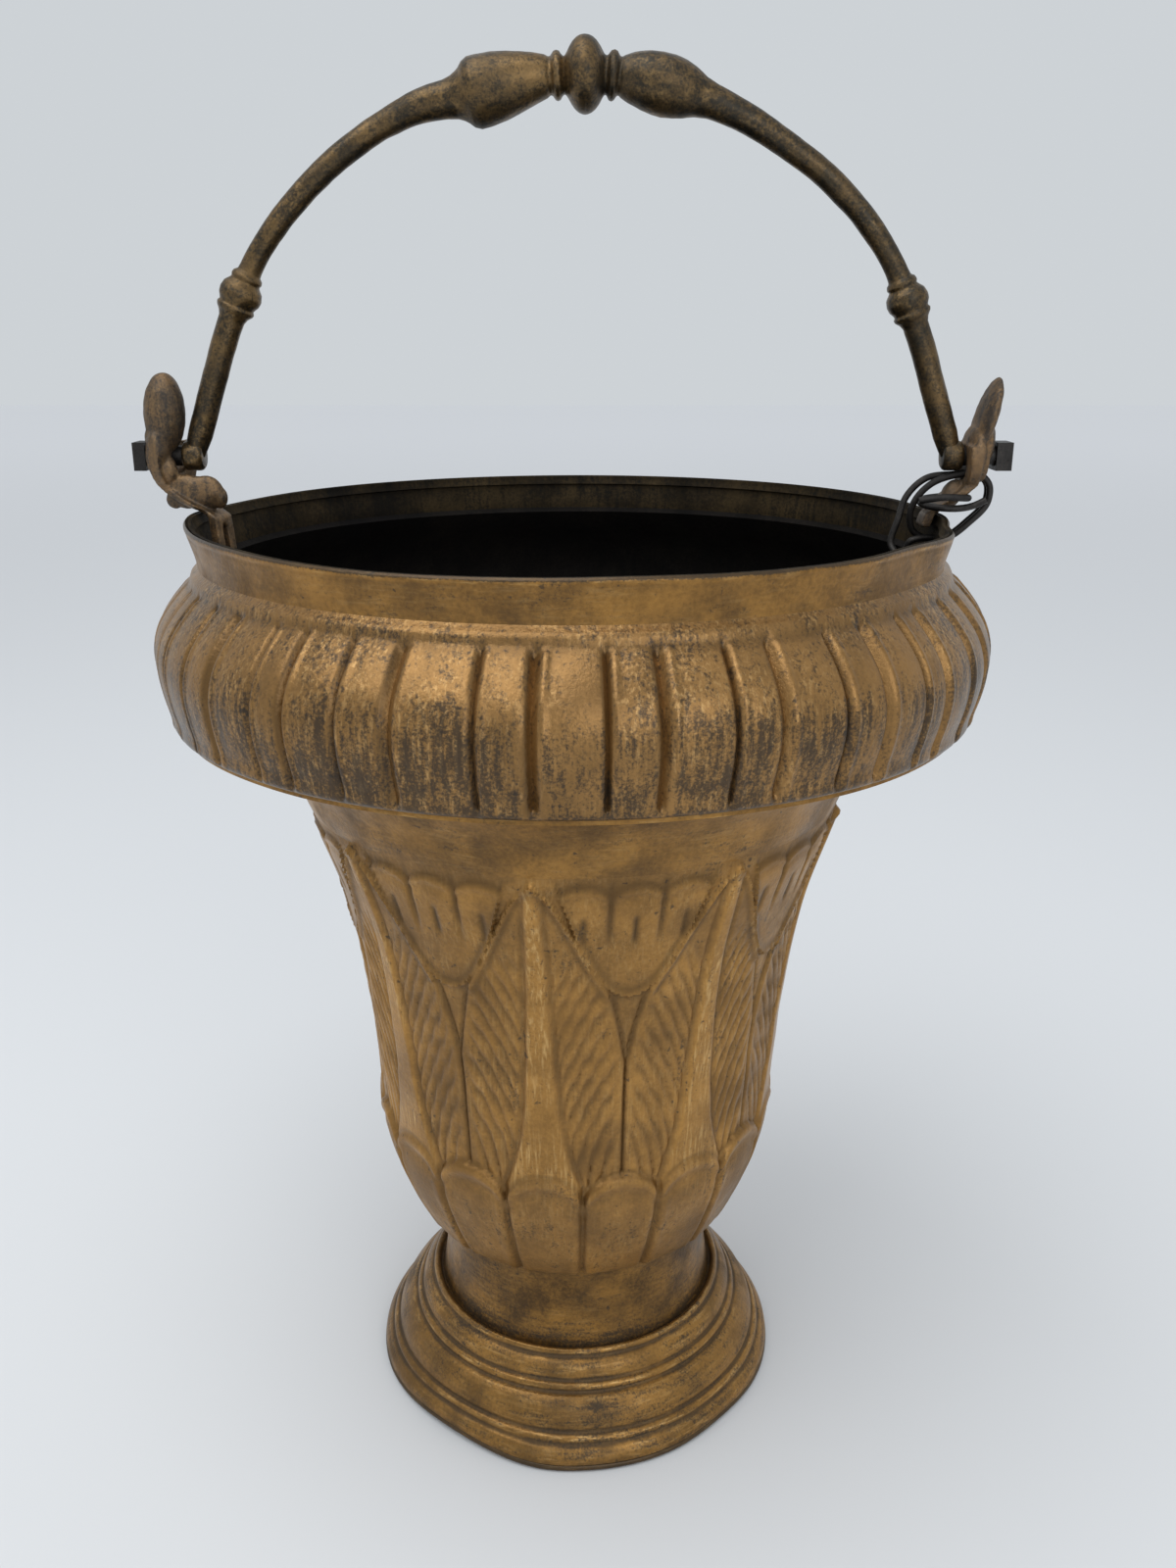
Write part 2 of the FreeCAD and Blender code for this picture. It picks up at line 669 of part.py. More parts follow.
def build_shoulder(size):
    """The bulged shoulder: gadroons parted by creases, on a thin wall with a flat flange below."""
    shoulder = Piece("shoulder")
    shoulder.place(turn=size["gadroon_turn"])
    sheet = size["sheet"]
    bottom = size["shoulder_bottom_height"]
    height = size["shoulder_height"]
    reach = size["shoulder_radius"]
    edge = size["shoulder_edge_radius"]
    flange = size["shoulder_flange_radius"]
    turn = size["shoulder_turn"]
    neck = size["neck_radius"]
    top = size["neck_height"]
    low_curve = tangent_curve(reach - edge, height - bottom)

    # The round of the shoulder runs on, without a corner, into the slope up to the neck
    hub = reach - turn
    slope = angle_of(top - height, neck - hub)
    span = root(square(top - height) + square(neck - hub))
    leave = slope - angle_with_cosine(turn / span)

    def rising(inset):
        """The outside from the lower edge up to the neck, moved inward."""
        curve = turn - inset
        return [
            Arc(reach - inset, height, low_curve, COUNTER_CLOCKWISE),
            Arc(hub + curve * cosine(leave), height + curve * sine(leave), curve, COUNTER_CLOCKWISE),
            Line(neck - inset / cosine(leave), top),
        ]

    def falling(inset, foot):
        """The same way back down, to a given height."""
        curve = turn - inset
        return [
            Line(neck - inset / cosine(leave), top),
            Line(hub + curve * cosine(leave), height + curve * sine(leave)),
            Arc(reach - inset, height, curve, CLOCKWISE),
            Arc(edge - inset, foot, low_curve, CLOCKWISE),
        ]

    relief = size["gadroon_relief"]
    layer_root = relief + sheet / 2.0
    shoulder.revolve(shoulder.outline(
        "GadroonSection", (edge - layer_root, bottom),
        [Line(edge, bottom)] + rising(as_size(0.0)) + falling(layer_root, bottom)))
    low = bottom + size["crease_low_margin"]
    high = top - size["crease_high_margin"]
    for name, width in (("Crease", size["crease_width"]), ("FineCrease", size["fine_crease_width"])):
        half = width / 2.0
        crease = shoulder.outline(name, (-half, low), [
            Line(half, low),
            Line(half, high),
            Line(-half, high),
            Line(-half, low),
        ])
        if name == "FineCrease":
            shoulder.swing(crease, size["gadroon_share"] * 360.0 / size["gadroon_count"])
        shoulder.cut_round(crease, f"{name}Cut", 2.0 * reach, size["gadroon_count"])
    shoulder.revolve(shoulder.outline(
        "ShoulderSection", (flange, bottom),
        [Line(edge - relief, bottom)] + rising(relief) + falling(relief + sheet, bottom + sheet)
        + [Line(flange, bottom + sheet), Line(flange, bottom)]))


def build_mouth(size):
    """The collar, with the hole that the wire passes through, and the hem inside its edge."""
    sheet = size["sheet"]
    neck = size["neck_radius"]
    base = size["neck_height"]
    top = size["rim_height"]
    rise = top - base
    curve = tangent_curve(size["rim_radius"] - neck, rise)
    hub = neck + curve

    def radius_at(offset, height):
        return hub - root(square(curve + offset) - square(height - base))

    collar = Piece("collar")
    collar.revolve(collar.outline("CollarSection", (neck - sheet, base), [
        Line(neck, base),
        Arc(size["rim_radius"], top, curve, CLOCKWISE),
        Line(radius_at(sheet, top), top),
        Arc(neck - sheet, base, curve + sheet, COUNTER_CLOCKWISE),
    ]))
    hole = collar.circle("WireHole", size["wire_hole_radius"], 0.0, size["wire_hole_height"])
    doc.recompute()
    cut = collar.feature("Pocket", "WireHoleCut", Profile=hole, Length=2.0 * size["rim_radius"])
    cut.Reversed = True

    band = Piece("mouth_band")
    outside = sheet + size["solder_film"]
    inside = outside + size["mouth_band_thickness"]
    low = top - size["mouth_band_height"]
    band.revolve(band.outline("BandSection", (radius_at(inside, low), low), [
        Line(radius_at(outside, low), low),
        Arc(radius_at(outside, top), top, curve + outside, CLOCKWISE),
        Line(radius_at(inside, top), top),
        Arc(radius_at(inside, low), low, curve + inside, COUNTER_CLOCKWISE),
    ]))
    return radius_at(inside, top)


class Side:
    """One side of the bail: its name and how far it is turned about Z from the +X side."""

    def __init__(self, name, turn, twist):
        self.name = name
        self.turn = turn
        self.twist = twist
        self.sign = math.copysign(1.0, math.cos(math.radians(turn)))


def build_bail_middle(size):
    """The pointed bead at the top of the bail."""
    knop = Piece("bail_knop")
    knop.place(up=size["pivot_height"] + size["bail_height"])
    half = size["centre_knop_half_length"]
    side = size["centre_knop_side_radius"]
    knop.revolve(knop.outline("KnopSection", (-half, 0.0), [
        Line(half, 0.0),
        Line(half, side),
        Arc(0.0, size["centre_knop_radius"], size["centre_knop_curve"], COUNTER_CLOCKWISE),
        Arc(-half, side, size["centre_knop_curve"], COUNTER_CLOCKWISE),
        Line(-half, 0.0),
    ]), axis="X_Axis")


def build_bail_side(size, side):
    """Ring, grip, arm, side knop, shank and peg of one side, made on +X and turned to their side."""
    top = size["pivot_height"] + size["bail_height"]
    half = size["centre_knop_half_length"]
    width = size["ring_width"]
    straight = half + width
    curve = size["arm_curve"]

    ring = Piece(f"{side.name}_ring")
    ring.place(up=top, turn=side.turn)
    edge = size["grip_neck_radius"]
    ring_curve = tangent_curve(size["ring_radius"] - edge, width / 2.0)
    ring.revolve(ring.outline("RingSection", (half, 0.0), [
        Line(straight, 0.0),
        Line(straight, edge),
        Arc(half, edge, ring_curve, COUNTER_CLOCKWISE),
        Line(half, 0.0),
    ]), axis="X_Axis")

    def section(piece, name, angle, radius):
        """A round section of the bent rod, at an angle along its curve."""
        sketch = piece.circle(name, radius)
        up = curve * cosine(angle)
        out = curve * sine(angle)
        sketch.AttachmentOffset = FreeCAD.Placement(
            FreeCAD.Vector(0, up.value, out.value),
            FreeCAD.Rotation(FreeCAD.Vector(1, 0, 0), angle.value))
        sketch.setExpression("AttachmentOffset.Base.y", up.formula)
        sketch.setExpression("AttachmentOffset.Base.z", out.formula)
        sketch.setExpression("AttachmentOffset.Rotation.Angle", angle.formula)
        return sketch

    hub_out = side.sign * straight
    hub_up = top - curve
    swell = size[f"{side.name}_grip_radius"]
    neck = size["grip_neck_radius"]
    full = size["grip_angle"]
    grip = Piece(f"{side.name}_grip")
    grip.place(across=hub_out, up=hub_up, turn=side.turn)
    stations = [
        (full * 0.0, neck),
        (size["grip_rise_angle"], neck + (swell - neck) * size["grip_rise_share"]),
        (size["grip_swell_angle"], swell),
        (size["grip_fall_angle"], swell * size["grip_fall_share"]),
        (full, size["arm_radius"]),
    ]
    sections = [section(grip, f"GripSection{row}", angle, radius)
                for row, (angle, radius) in enumerate(stations)]
    grip.feature("AdditiveLoft", "Swelling", Profile=sections[0], Sections=sections[1:])

    arm = Piece(f"{side.name}_arm")
    arm.place(across=hub_out, up=hub_up, turn=side.turn)
    arm.revolve(section(arm, "ArmSection", full, size["arm_radius"]), axis="Y_Axis",
                angle=size["arm_angle"] - full)

    # From the end of the arm a straight line runs down to the pivot
    arm_end_out = straight + curve * sine(size["arm_angle"])
    arm_end_up = hub_up + curve * cosine(size["arm_angle"])
    run_out = size["bail_half_span"] - arm_end_out
    run_down = arm_end_up - size["pivot_height"]
    run = root(square(run_out) + square(run_down))
    lean = angle_of(run_down, run_out)

    def along_line(piece):
        """Stand a body on the end of the arm, with its X axis down the straight line."""
        turn = FreeCAD.Rotation(FreeCAD.Vector(0, 0, 1), side.turn)
        tip = FreeCAD.Rotation(FreeCAD.Vector(0, 1, 0), lean.value)
        across = side.sign * arm_end_out
        base = FreeCAD.Vector(across.value, 0, arm_end_up.value)
        piece.body.Placement = FreeCAD.Placement(base, turn.multiply(tip))
        piece.body.setExpression("Placement.Base.x", across.formula)
        piece.body.setExpression("Placement.Base.z", arm_end_up.formula)
        piece.body.setExpression(
            "Placement.Rotation", f"rotationz({side.turn}) * rotationy({lean.formula})")

    ring_length = size["side_knop_ring"]
    ring_radius = size["side_knop_ring_radius"]
    bead = size["side_knop_bead"]
    start = size["seam_gap"]
    knop_end = start + ring_length + bead + ring_length
    low = size["shank_radius"]
    ring_round = tangent_curve(ring_radius - low, ring_length / 2.0)
    bead_round = tangent_curve(size["side_knop_radius"] - low, bead / 2.0)
    knop = Piece(f"{side.name}_knop")
    along_line(knop)
    knop.revolve(knop.outline("KnopSection", (start, 0.0), [
        Line(knop_end, 0.0),
        Line(knop_end, low),
        Arc(start + ring_length + bead, low, ring_round, COUNTER_CLOCKWISE),
        Arc(start + ring_length, low, bead_round, COUNTER_CLOCKWISE),
        Arc(start, low, ring_round, COUNTER_CLOCKWISE),
        Line(start, 0.0),
    ]), axis="X_Axis")

    shank = Piece(f"{side.name}_shank")
    along_line(shank)
    saddle = size["knuckle_radius"] + size["solder_film"]
    shank.revolve(shank.outline("ShankSection", (knop_end, 0.0), [
        Line(run, 0.0),
        Line(run, size["knuckle_half_length"]),
        Line(run - saddle, size["knuckle_half_length"]),
        Line(run - saddle - size["shank_taper"], low),
        Line(knop_end, low),
        Line(knop_end, 0.0),
    ]), axis="X_Axis")

    # The foot of the shank is hollowed to sit on the peg's knuckle
    hollow = shank.circle("SaddleCircle", saddle, plane="XY_Plane")
    tilt = HALF_TURN / 2.0 - lean
    hollow.AttachmentOffset = FreeCAD.Placement(
        FreeCAD.Vector(run.value, 0, 0), FreeCAD.Rotation(FreeCAD.Vector(0, 1, 0), tilt.value))
    hollow.setExpression("AttachmentOffset.Base.x", run.formula)
    hollow.setExpression("AttachmentOffset.Rotation.Angle", tilt.formula)
    shank.cut_through(hollow, "Saddle")

    # The peg: a knuckle under the shank, a round journal in the ear and a squared end
    peg = Piece(f"{side.name}_peg")
    peg.place(across=side.sign * size["bail_half_span"], up=size["pivot_height"], turn=side.turn)
    plate_middle = ear_distance(size, side) - size["bail_half_span"]
    through = size["ear_plate"] / 2.0 + size["ear_boss"]
    corner = size["peg_head_side"] * math.sqrt(0.5)
    head = plate_middle + (through + corner * sine(side.twist)) / cosine(side.twist)
    head = head + size[f"{side.name}_head_gap"]
    knuckle = size["knuckle_half_length"]
    bevel = size["knuckle_bevel"]
    peg.revolve(peg.outline("PegSection", (-knuckle, 0.0), [
        Line(head, 0.0),
        Line(head, size["peg_radius"]),
        Line(knuckle, size["peg_radius"]),
        Line(knuckle, size["knuckle_radius"]),
        Line(-knuckle + bevel, size["knuckle_radius"]),
        Line(-knuckle, size["knuckle_radius"] - bevel),
        Line(-knuckle, 0.0),
    ]), axis="X_Axis")
    reach = size["peg_head_side"] / 2.0
    square_end = peg.outline("HeadOutline", (-reach, -reach), [
        Line(reach, -reach),
        Line(reach, reach),
        Line(-reach, reach),
        Line(-reach, -reach),
    ], plane="YZ_Plane")
    peg.shift(square_end, head)
    peg.feature("Pad", "Head", Profile=square_end, Length=size["peg_reach"] - size["bail_half_span"] - head)


def ear_distance(size, side):
    """How far the middle of an ear's plate stands from the bucket's axis."""
    half = size["ear_plate"] / 2.0
    lean = half * cosine(side.twist) + size["knuckle_radius"] * sine(side.twist)
    return size["bail_half_span"] + size["knuckle_half_length"] + size["side_clearance"] + lean


def build_ear(size, side, mouth_radius, hole_shift):
    """A cast ear: a curled shell over a pierced plate, a lobed waist and a stem inside the collar."""
    ear = Piece(f"{side.name}_ear")
    middle = ear_distance(size, side)
    ear.place(across=side.sign * middle, up=size["pivot_height"], turn=side.turn - side.twist)
    half = size["ear_plate"] / 2.0
    stem_half = size["ear_stem_thickness"] / 2.0
    stem_width = size["ear_stem_half_width"]
    spread = stem_half * cosine(side.twist) + stem_width * sine(side.twist)
    lean = (middle - mouth_radius + spread + 4.0 * size["seam_gap"]) / cosine(side.twist)
    rim_drop = size["pivot_height"] - size["rim_height"]
    bottom = size[f"{side.name}_stem_bottom"] - size["pivot_height"]
    inset = mouth_radius - (size["neck_radius"] - size["sheet"])
    waist = -size["ear_waist_drop"]
    top = size["ear_top"]
    tip = half + size["ear_curl_reach"]
    tip_low = top - size["ear_tip_thickness"]
    curl = tangent_curve(size["ear_curl_reach"], top - size["ear_curl_start"])
    side_view = ear.outline("SideView", (-half, size["ear_curl_start"]), [
        Line(-half, waist),
        Line(-lean - stem_half, -rim_drop),
        Line(-lean - stem_half - inset, bottom),
        Line(-lean + stem_half - inset, bottom),
        Line(-lean + stem_half, -rim_drop),
        Line(half, waist),
        Line(half, size["ear_curl_start"]),
        Arc(tip, tip_low, curl, CLOCKWISE),
        Line(tip - size["ear_tip_thickness"], top),
        Arc(-half, size["ear_curl_start"], curl, COUNTER_CLOCKWISE),
    ])
    depth = 4.0 * size["ear_shell_half_width"]
    ear.feature("Pad", "SidePad", Profile=side_view, Length=depth, Midplane=True)

    # Seen from the bucket's axis: stem, lobes, waist, shell and round crown; all else is cut away
    shell = size["ear_shell_half_width"]
    shell_up = size["ear_shell_height"]
    narrow = size["ear_waist_half_width"]
    stem_top = -size["ear_stem_drop"]
    far = depth
    below = bottom - depth
    cut = ear.outline("FrontOutline", (stem_width, below), [
        Line(stem_width, stem_top),
        Arc(narrow, waist, size["ear_lobe_curve"], COUNTER_CLOCKWISE),
        Arc(shell, shell_up, size["ear_shell_curve"], COUNTER_CLOCKWISE),
        Arc(0.0, top, size["ear_crown_curve"], COUNTER_CLOCKWISE),
        Arc(-shell, shell_up, size["ear_crown_curve"], COUNTER_CLOCKWISE),
        Arc(-narrow, waist, size["ear_shell_curve"], COUNTER_CLOCKWISE),
        Arc(-stem_width, stem_top, size["ear_lobe_curve"], COUNTER_CLOCKWISE),
        Line(-stem_width, below),
        Line(-far, below),
        Line(-far, depth),
        Line(far, depth),
        Line(far, below),
        Line(stem_width, below),
    ], plane="YZ_Plane")
    ear.cut_through(cut, "FrontCut")

    boss = ear.circle("BossCircle", size["ear_boss_radius"])
    ear.feature("Pad", "Boss", Profile=boss, Length=half + size["ear_boss"])
    hole = ear.circle("HoleCircle", size["ear_hole_radius"], 0.0, hole_shift)
    ear.cut_through(hole, "PivotHole")
    return ear


def hole_play(size, side):
    """How far a peg that lies on the edge of an ear's hole is off the hole's middle."""
    room = size["ear_hole_radius"] - size["peg_radius"] / cosine(side.twist) - size["seam_gap"]
    reach = size["ear_plate"] / 2.0 + size["ear_boss"]
    return root(square(room) - square(reach * sine(side.twist) / cosine(side.twist)))


def lobe_reach(size):
    """Half the width of an ear over its lobes, between stem and waist."""
    low = size["ear_stem_half_width"]
    high = size["ear_waist_half_width"]
    rise = size["ear_stem_drop"] - size["ear_waist_drop"]
    chord = root(square(high - low) + square(rise))
    curve = size["ear_lobe_curve"]
    return (low + high) / 2.0 + (curve - root(square(curve) - square(chord / 2.0))) * rise / chord


def build_ears(size, mouth_radius):
    """The left ear has a forked stem; the right stem is shorter and held by wire."""
    left = build_ear(size, LEFT, mouth_radius, hole_play(size, LEFT))
    fork = size["left_fork_half_width"]
    bottom = size["left_stem_bottom"] - size["pivot_height"]
    slot = left.outline("ForkSlot", (-fork, bottom - fork), [
        Line(fork, bottom - fork),
        Line(fork, bottom + size["left_fork_height"]),
        Arc(-fork, bottom + size["left_fork_height"], size["left_fork_round"], COUNTER_CLOCKWISE),
        Line(-fork, bottom - fork),
    ], plane="YZ_Plane")
    left.cut_through(slot, "ForkCut")
    build_ear(size, RIGHT, mouth_radius, -hole_play(size, RIGHT))


def biarc(start, start_way, end, end_way):
    """Two arcs that join two points smoothly along the given directions."""
    reach = end - start
    ways = start_way + end_way
    spread = 2.0 * (1.0 - start_way.dot(end_way))
    lean = reach.dot(ways)
    if spread < 1e-6:
        handle = reach.Length / 4.0
    else:
        handle = (math.sqrt(lean * lean + spread * reach.dot(reach)) - lean) / spread
    first = start + start_way * handle
    second = end - end_way * handle
    return (start, first, (first + second) * 0.5), ((first + second) * 0.5, second, end)


def bend(start, corner, end):
    """The edge from start to end that leaves and arrives along the two sides of a corner."""
    into = (corner - start).normalize()
    out = (end - corner).normalize()
    if into.dot(out) > 1.0 - 1e-9:
        return Part.LineSegment(start, end).toShape()
    middle = (start + end) * 0.5
    side = corner - middle
    half_turn = math.acos(max(-1.0, min(1.0, into.dot(out)))) / 2.0
    rise = (end - start).Length / 2.0 * math.tan(half_turn / 2.0)
    return Part.Arc(start, middle + side.normalize() * rise, end).toShape()


def wire_tube(name, points, radius):
    """One unbroken round wire through the points, on arcs, with straight ends one diameter long."""
    ways = [(points[1] - points[0]).normalize()]
    ways += [(after - before).normalize() for before, after in zip(points, points[2:])]
    ways.append((points[-1] - points[-2]).normalize())
    edges = []
    for row in range(len(points) - 1):
        for start, corner, end in biarc(points[row], ways[row], points[row + 1], ways[row + 1]):
            edges.append(bend(start, corner, end))
    head = points[0] - ways[0] * 2.0 * radius
    tail = points[-1] + ways[-1] * 2.0 * radius
    edges.insert(0, Part.LineSegment(head, points[0]).toShape())
    edges.append(Part.LineSegment(points[-1], tail).toShape())
    path = Part.Wire(edges)
    section = Part.Wire(Part.makeCircle(radius, head, ways[0]))
    tube = path.makePipeShell([section], True, False)
    bends = [edge.Curve.Radius for edge in edges if hasattr(edge.Curve, "Radius")]
    print(f"{name}: length {path.Length:.1f} mm, tightest bend {min(bends):.2f} mm,",
          f"least gap to itself {least_gap(path, radius):.2f} mm,",
          f"volume ratio {tube.Volume / (math.pi * radius ** 2 * path.Length):.4f}")
    feature = doc.addObject("Part::Feature", name)
    feature.Label = name
    feature.Shape = tube
    feature.Placement = FreeCAD.Placement()


def least_gap(path, radius):
    """The least clear distance between stretches of a wire that aren't neighbours along it."""
    step = radius / 2.0
    places = path.discretize(Distance=step)
    skip = int(3.0 * math.pi * radius / step)
    gaps = [places[a].distanceToPoint(places[b])
            for a in range(len(places)) for b in range(a + skip, len(places))]
    return min(gaps) - 2.0 * radius


def build_wires(size):
    """The lashing through the right ear and the collar, and the tie round the foot of that ear."""
    radius = size["wire_radius"].value
    half = radius + size["strand_half_gap"].value
    clearance = size["seam_gap"].value
    hole = size["wire_hole_height"].value
    rim = size["rim_height"].value
    collar = size["neck_radius"].value
    ear = ear_distance(size, RIGHT).value
    boss = ear + size["ear_plate"].value / 2.0 + size["ear_boss"].value
    ear_hole = size["ear_hole_radius"].value
    hole_drop = hole_play(size, RIGHT).value
    sill = size["pivot_height"].value - hole_drop - math.sqrt(ear_hole ** 2 - half ** 2)
    strand_up = sill + radius + 2.0 * clearance
    pitch = size["twist_pitch"].value
    turns = size["twist_turns"].value
    twist_radius = size["twist_radius"].value

    def up_outside(along):
        """Out through the collar, up outside and in through the ear, under the peg."""
        return [
            FreeCAD.Vector(collar - 3.5, along, hole),
            FreeCAD.Vector(collar + 4.0, along, hole + 0.3),
            FreeCAD.Vector(boss - 3.0, along, rim - 2.5),
            FreeCAD.Vector(boss + 2.2, along, rim + 4.0),
            FreeCAD.Vector(boss + 2.0, along, strand_up - 2.6),
            FreeCAD.Vector(boss - 0.5, along, strand_up),
            FreeCAD.Vector(ear - 4.0, along, strand_up),
        ]

    # Both ends are twisted together and hang inside the collar
    knot = FreeCAD.Vector(collar - 13.5, 0.0, hole - 3.0)
    fall = FreeCAD.Vector(-0.3, -0.25, -0.92).normalize()
    side = fall.cross(FreeCAD.Vector(0, 1, 0)).normalize()
    front = fall.cross(side)

    def strand(start_angle):
        """Points down one strand of the twisted ends, which open out at both ends of the twist."""
        points = []
        last = int(4 * turns)
        for quarter in range(last + 1):
            angle = start_angle - quarter * math.pi / 2.0
            swing = side * math.cos(angle) + front * math.sin(angle)
            reach = twist_radius * (TWIST_OPENING if quarter in (0, last) else 1.0)
            points.append(knot + fall * (pitch * quarter / 4.0) + swing * reach)
        return points

    lashing = list(reversed(strand(0.0)))
    lashing += [FreeCAD.Vector(collar - 9.0, -half, hole - 1.0)]
    lashing += up_outside(-half)
    lashing += [
        FreeCAD.Vector(collar - 4.0, -half, strand_up - 2.2),
        FreeCAD.Vector(collar - 9.0, -0.5 * half, rim + 4.0),
        FreeCAD.Vector(collar - 10.4, 0.3 * half, rim - 1.0),
        FreeCAD.Vector(collar - 8.0, half, hole + 1.6),
    ]
    lashing += up_outside(half)
    lashing += [
        FreeCAD.Vector(collar - 5.5, half, strand_up - 1.2),
        FreeCAD.Vector(collar - 12.0, half, rim + 5.0),
        FreeCAD.Vector(collar - 14.6, 0.5 * half, rim - 2.0),
    ]
    lashing += strand(math.pi)
    wire_tube("right_ear_lashing", lashing, radius)

    # One turn and a quarter round the foot of the ear, with both ends across its front
    girth = lobe_reach(size).value + radius + size["tie_slack"].value
    foot = ear - 7.5
    tie = [
        FreeCAD.Vector(foot + 14.5, -girth - 2.6, rim + 5.4),
        FreeCAD.Vector(foot + 10.5, -girth - 1.2, rim + 3.4),
        FreeCAD.Vector(foot + 3.5, -girth - 0.2, rim + 2.6),
        FreeCAD.Vector(foot - 2.0, -girth + 0.4, rim + 2.7),
        FreeCAD.Vector(foot - 5.4, 0.0, rim + 3.0),
        FreeCAD.Vector(foot - 2.4, girth - 0.2, rim + 3.5),
        FreeCAD.Vector(foot + 2.2, girth + 0.3, rim + 4.0),
        FreeCAD.Vector(foot + 6.6, girth - 3.4, rim + 4.5),
        FreeCAD.Vector(foot + 7.2, -girth + 4.0, rim + 5.1),
        FreeCAD.Vector(foot + 4.6, -girth - 1.4, rim + 5.7),
        FreeCAD.Vector(foot - 1.5, -girth - 2.4, rim + 6.0),
        FreeCAD.Vector(foot - 8.5, -girth - 1.6, rim + 5.0),
    ]
    wire_tube("right_rim_tie", tie, radius)


def check_and_write():
    """Stop on any failed object, then write each sub-part's shape."""
    doc.recompute()
    for item in doc.Objects:
        if "Invalid" in item.State or "Error" in item.State:
            raise RuntimeError(f"{item.Label} failed: {item.State}")
    pieces = [item for item in doc.Objects
              if item.TypeId == "PartDesign::Body" or item.TypeId == "Part::Feature"]
    for item in pieces:
        if item.Shape.isNull() or not item.Shape.isValid():
            raise RuntimeError(f"{item.Label} has no valid shape")
    os.makedirs(STEP_FOLDER, exist_ok=True)
    for item in pieces:
        item.Shape.exportStep(os.path.join(STEP_FOLDER, f"{item.Label}.step"))
        box = item.Shape.BoundBox
        print(f"{item.Label}: {len(item.Shape.Solids)} solid, {item.Shape.Volume:.0f} mm3,",
              f"{box.XLength:.1f} x {box.YLength:.1f} x {box.ZLength:.1f} mm")


size = fill_sheet()
LEFT = Side("left", HALF_TURN, size["left_ear_twist"])
RIGHT = Side("right", 0.0, size["right_ear_twist"])
build_foot(size)
build_cup(size)
build_shoulder(size)
mouth_radius = build_mouth(size)
build_bail_middle(size)
build_bail_side(size, LEFT)
build_bail_side(size, RIGHT)
build_ears(size, mouth_radius)
build_wires(size)
check_and_write()
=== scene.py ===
import logging
import math
from dataclasses import dataclass
from enum import Enum
from typing import Callable, Sequence

import bmesh
import bpy
import numpy as np
from mathutils import Matrix, Vector


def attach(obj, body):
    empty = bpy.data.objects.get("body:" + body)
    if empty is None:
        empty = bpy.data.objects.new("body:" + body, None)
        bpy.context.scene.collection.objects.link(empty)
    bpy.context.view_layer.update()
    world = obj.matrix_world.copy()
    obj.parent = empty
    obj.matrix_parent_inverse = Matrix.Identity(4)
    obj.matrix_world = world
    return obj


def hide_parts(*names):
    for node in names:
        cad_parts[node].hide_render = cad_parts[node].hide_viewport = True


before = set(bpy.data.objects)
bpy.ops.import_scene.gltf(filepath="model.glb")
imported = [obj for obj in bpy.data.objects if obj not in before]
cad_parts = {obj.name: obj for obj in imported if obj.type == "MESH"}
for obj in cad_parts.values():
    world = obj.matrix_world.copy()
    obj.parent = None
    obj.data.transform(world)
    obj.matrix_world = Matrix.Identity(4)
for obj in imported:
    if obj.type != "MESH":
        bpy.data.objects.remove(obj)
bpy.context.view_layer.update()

# Looks of an embossed gilt bucket with a cast bail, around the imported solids.
# Sizes are in millimetres and angles in degrees; meshes are written in metres.
# Angle 0 is the front of the bucket and grows to the viewer's right.

MM = 0.001
DEGREE = math.radians(1.0)
MOUTH_TOP = 293.2
LOG = logging.getLogger("bucket")
Pairs = Sequence[tuple[float, float]]
Triple = tuple[float, float, float]
Colour = tuple[float, float, float, float]
Wear = Callable[[np.ndarray, np.ndarray], np.ndarray]


class BodyName(Enum):
    """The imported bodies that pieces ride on."""

    VESSEL = "vessel"
    BAIL = "bail"


class Slot(Enum):
    """The record's material slots."""

    GILT = "gilt_sheet"
    EAR = "ear_bronze"
    BAIL = "bail_bronze"
    WIRE = "iron_wire"


class Socket(Enum):
    """Kinds of input and output that node trees have."""

    NUMBER = "NodeSocketFloat"
    COUNT = "NodeSocketInt"
    VECTOR = "NodeSocketVector"
    SHAPE = "NodeSocketGeometry"
    FINISH = "NodeSocketMaterial"


def ease(value: np.ndarray, low: float, high: float) -> np.ndarray:
    """Rise smoothly from 0 at low to 1 at high.

    Args:
        value: Numbers to ease.
        low: Where the rise starts.
        high: Where the rise ends.

    Returns:
        The eased numbers, from 0 to 1.
    """
    share = np.clip((value - low) / (high - low), 0.0, 1.0)
    return share * share * (3.0 - 2.0 * share)


def bump_at(value: np.ndarray, width: float | np.ndarray) -> np.ndarray:
    """A bell of height 1 around zero.

    Args:
        value: Distances from the middle of the bell.
        width: Distance at which the bell has fallen to about a third.

    Returns:
        The bell's height at each distance.
    """
    return np.exp(-np.square(value / width))


def blurred(grid: np.ndarray) -> np.ndarray:
    """Soften a grid of numbers by one step each way.

    Args:
        grid: The numbers, in rows and columns.

    Returns:
        The softened numbers.
    """
    wide = np.pad(grid, 1, mode="edge")
    across = 0.25 * wide[:, :-2] + 0.5 * wide[:, 1:-1] + 0.25 * wide[:, 2:]
    return 0.25 * across[:-2] + 0.5 * across[1:-1] + 0.25 * across[2:]


def run_lengths(points: np.ndarray) -> np.ndarray:
    """Measure how far along a line each of its points is.

    Args:
        points: The line's points.

    Returns:
        The distances, from 0 at the first point.
    """
    return np.concatenate([[0.0], np.cumsum(np.linalg.norm(np.diff(points, axis=0), axis=1))])


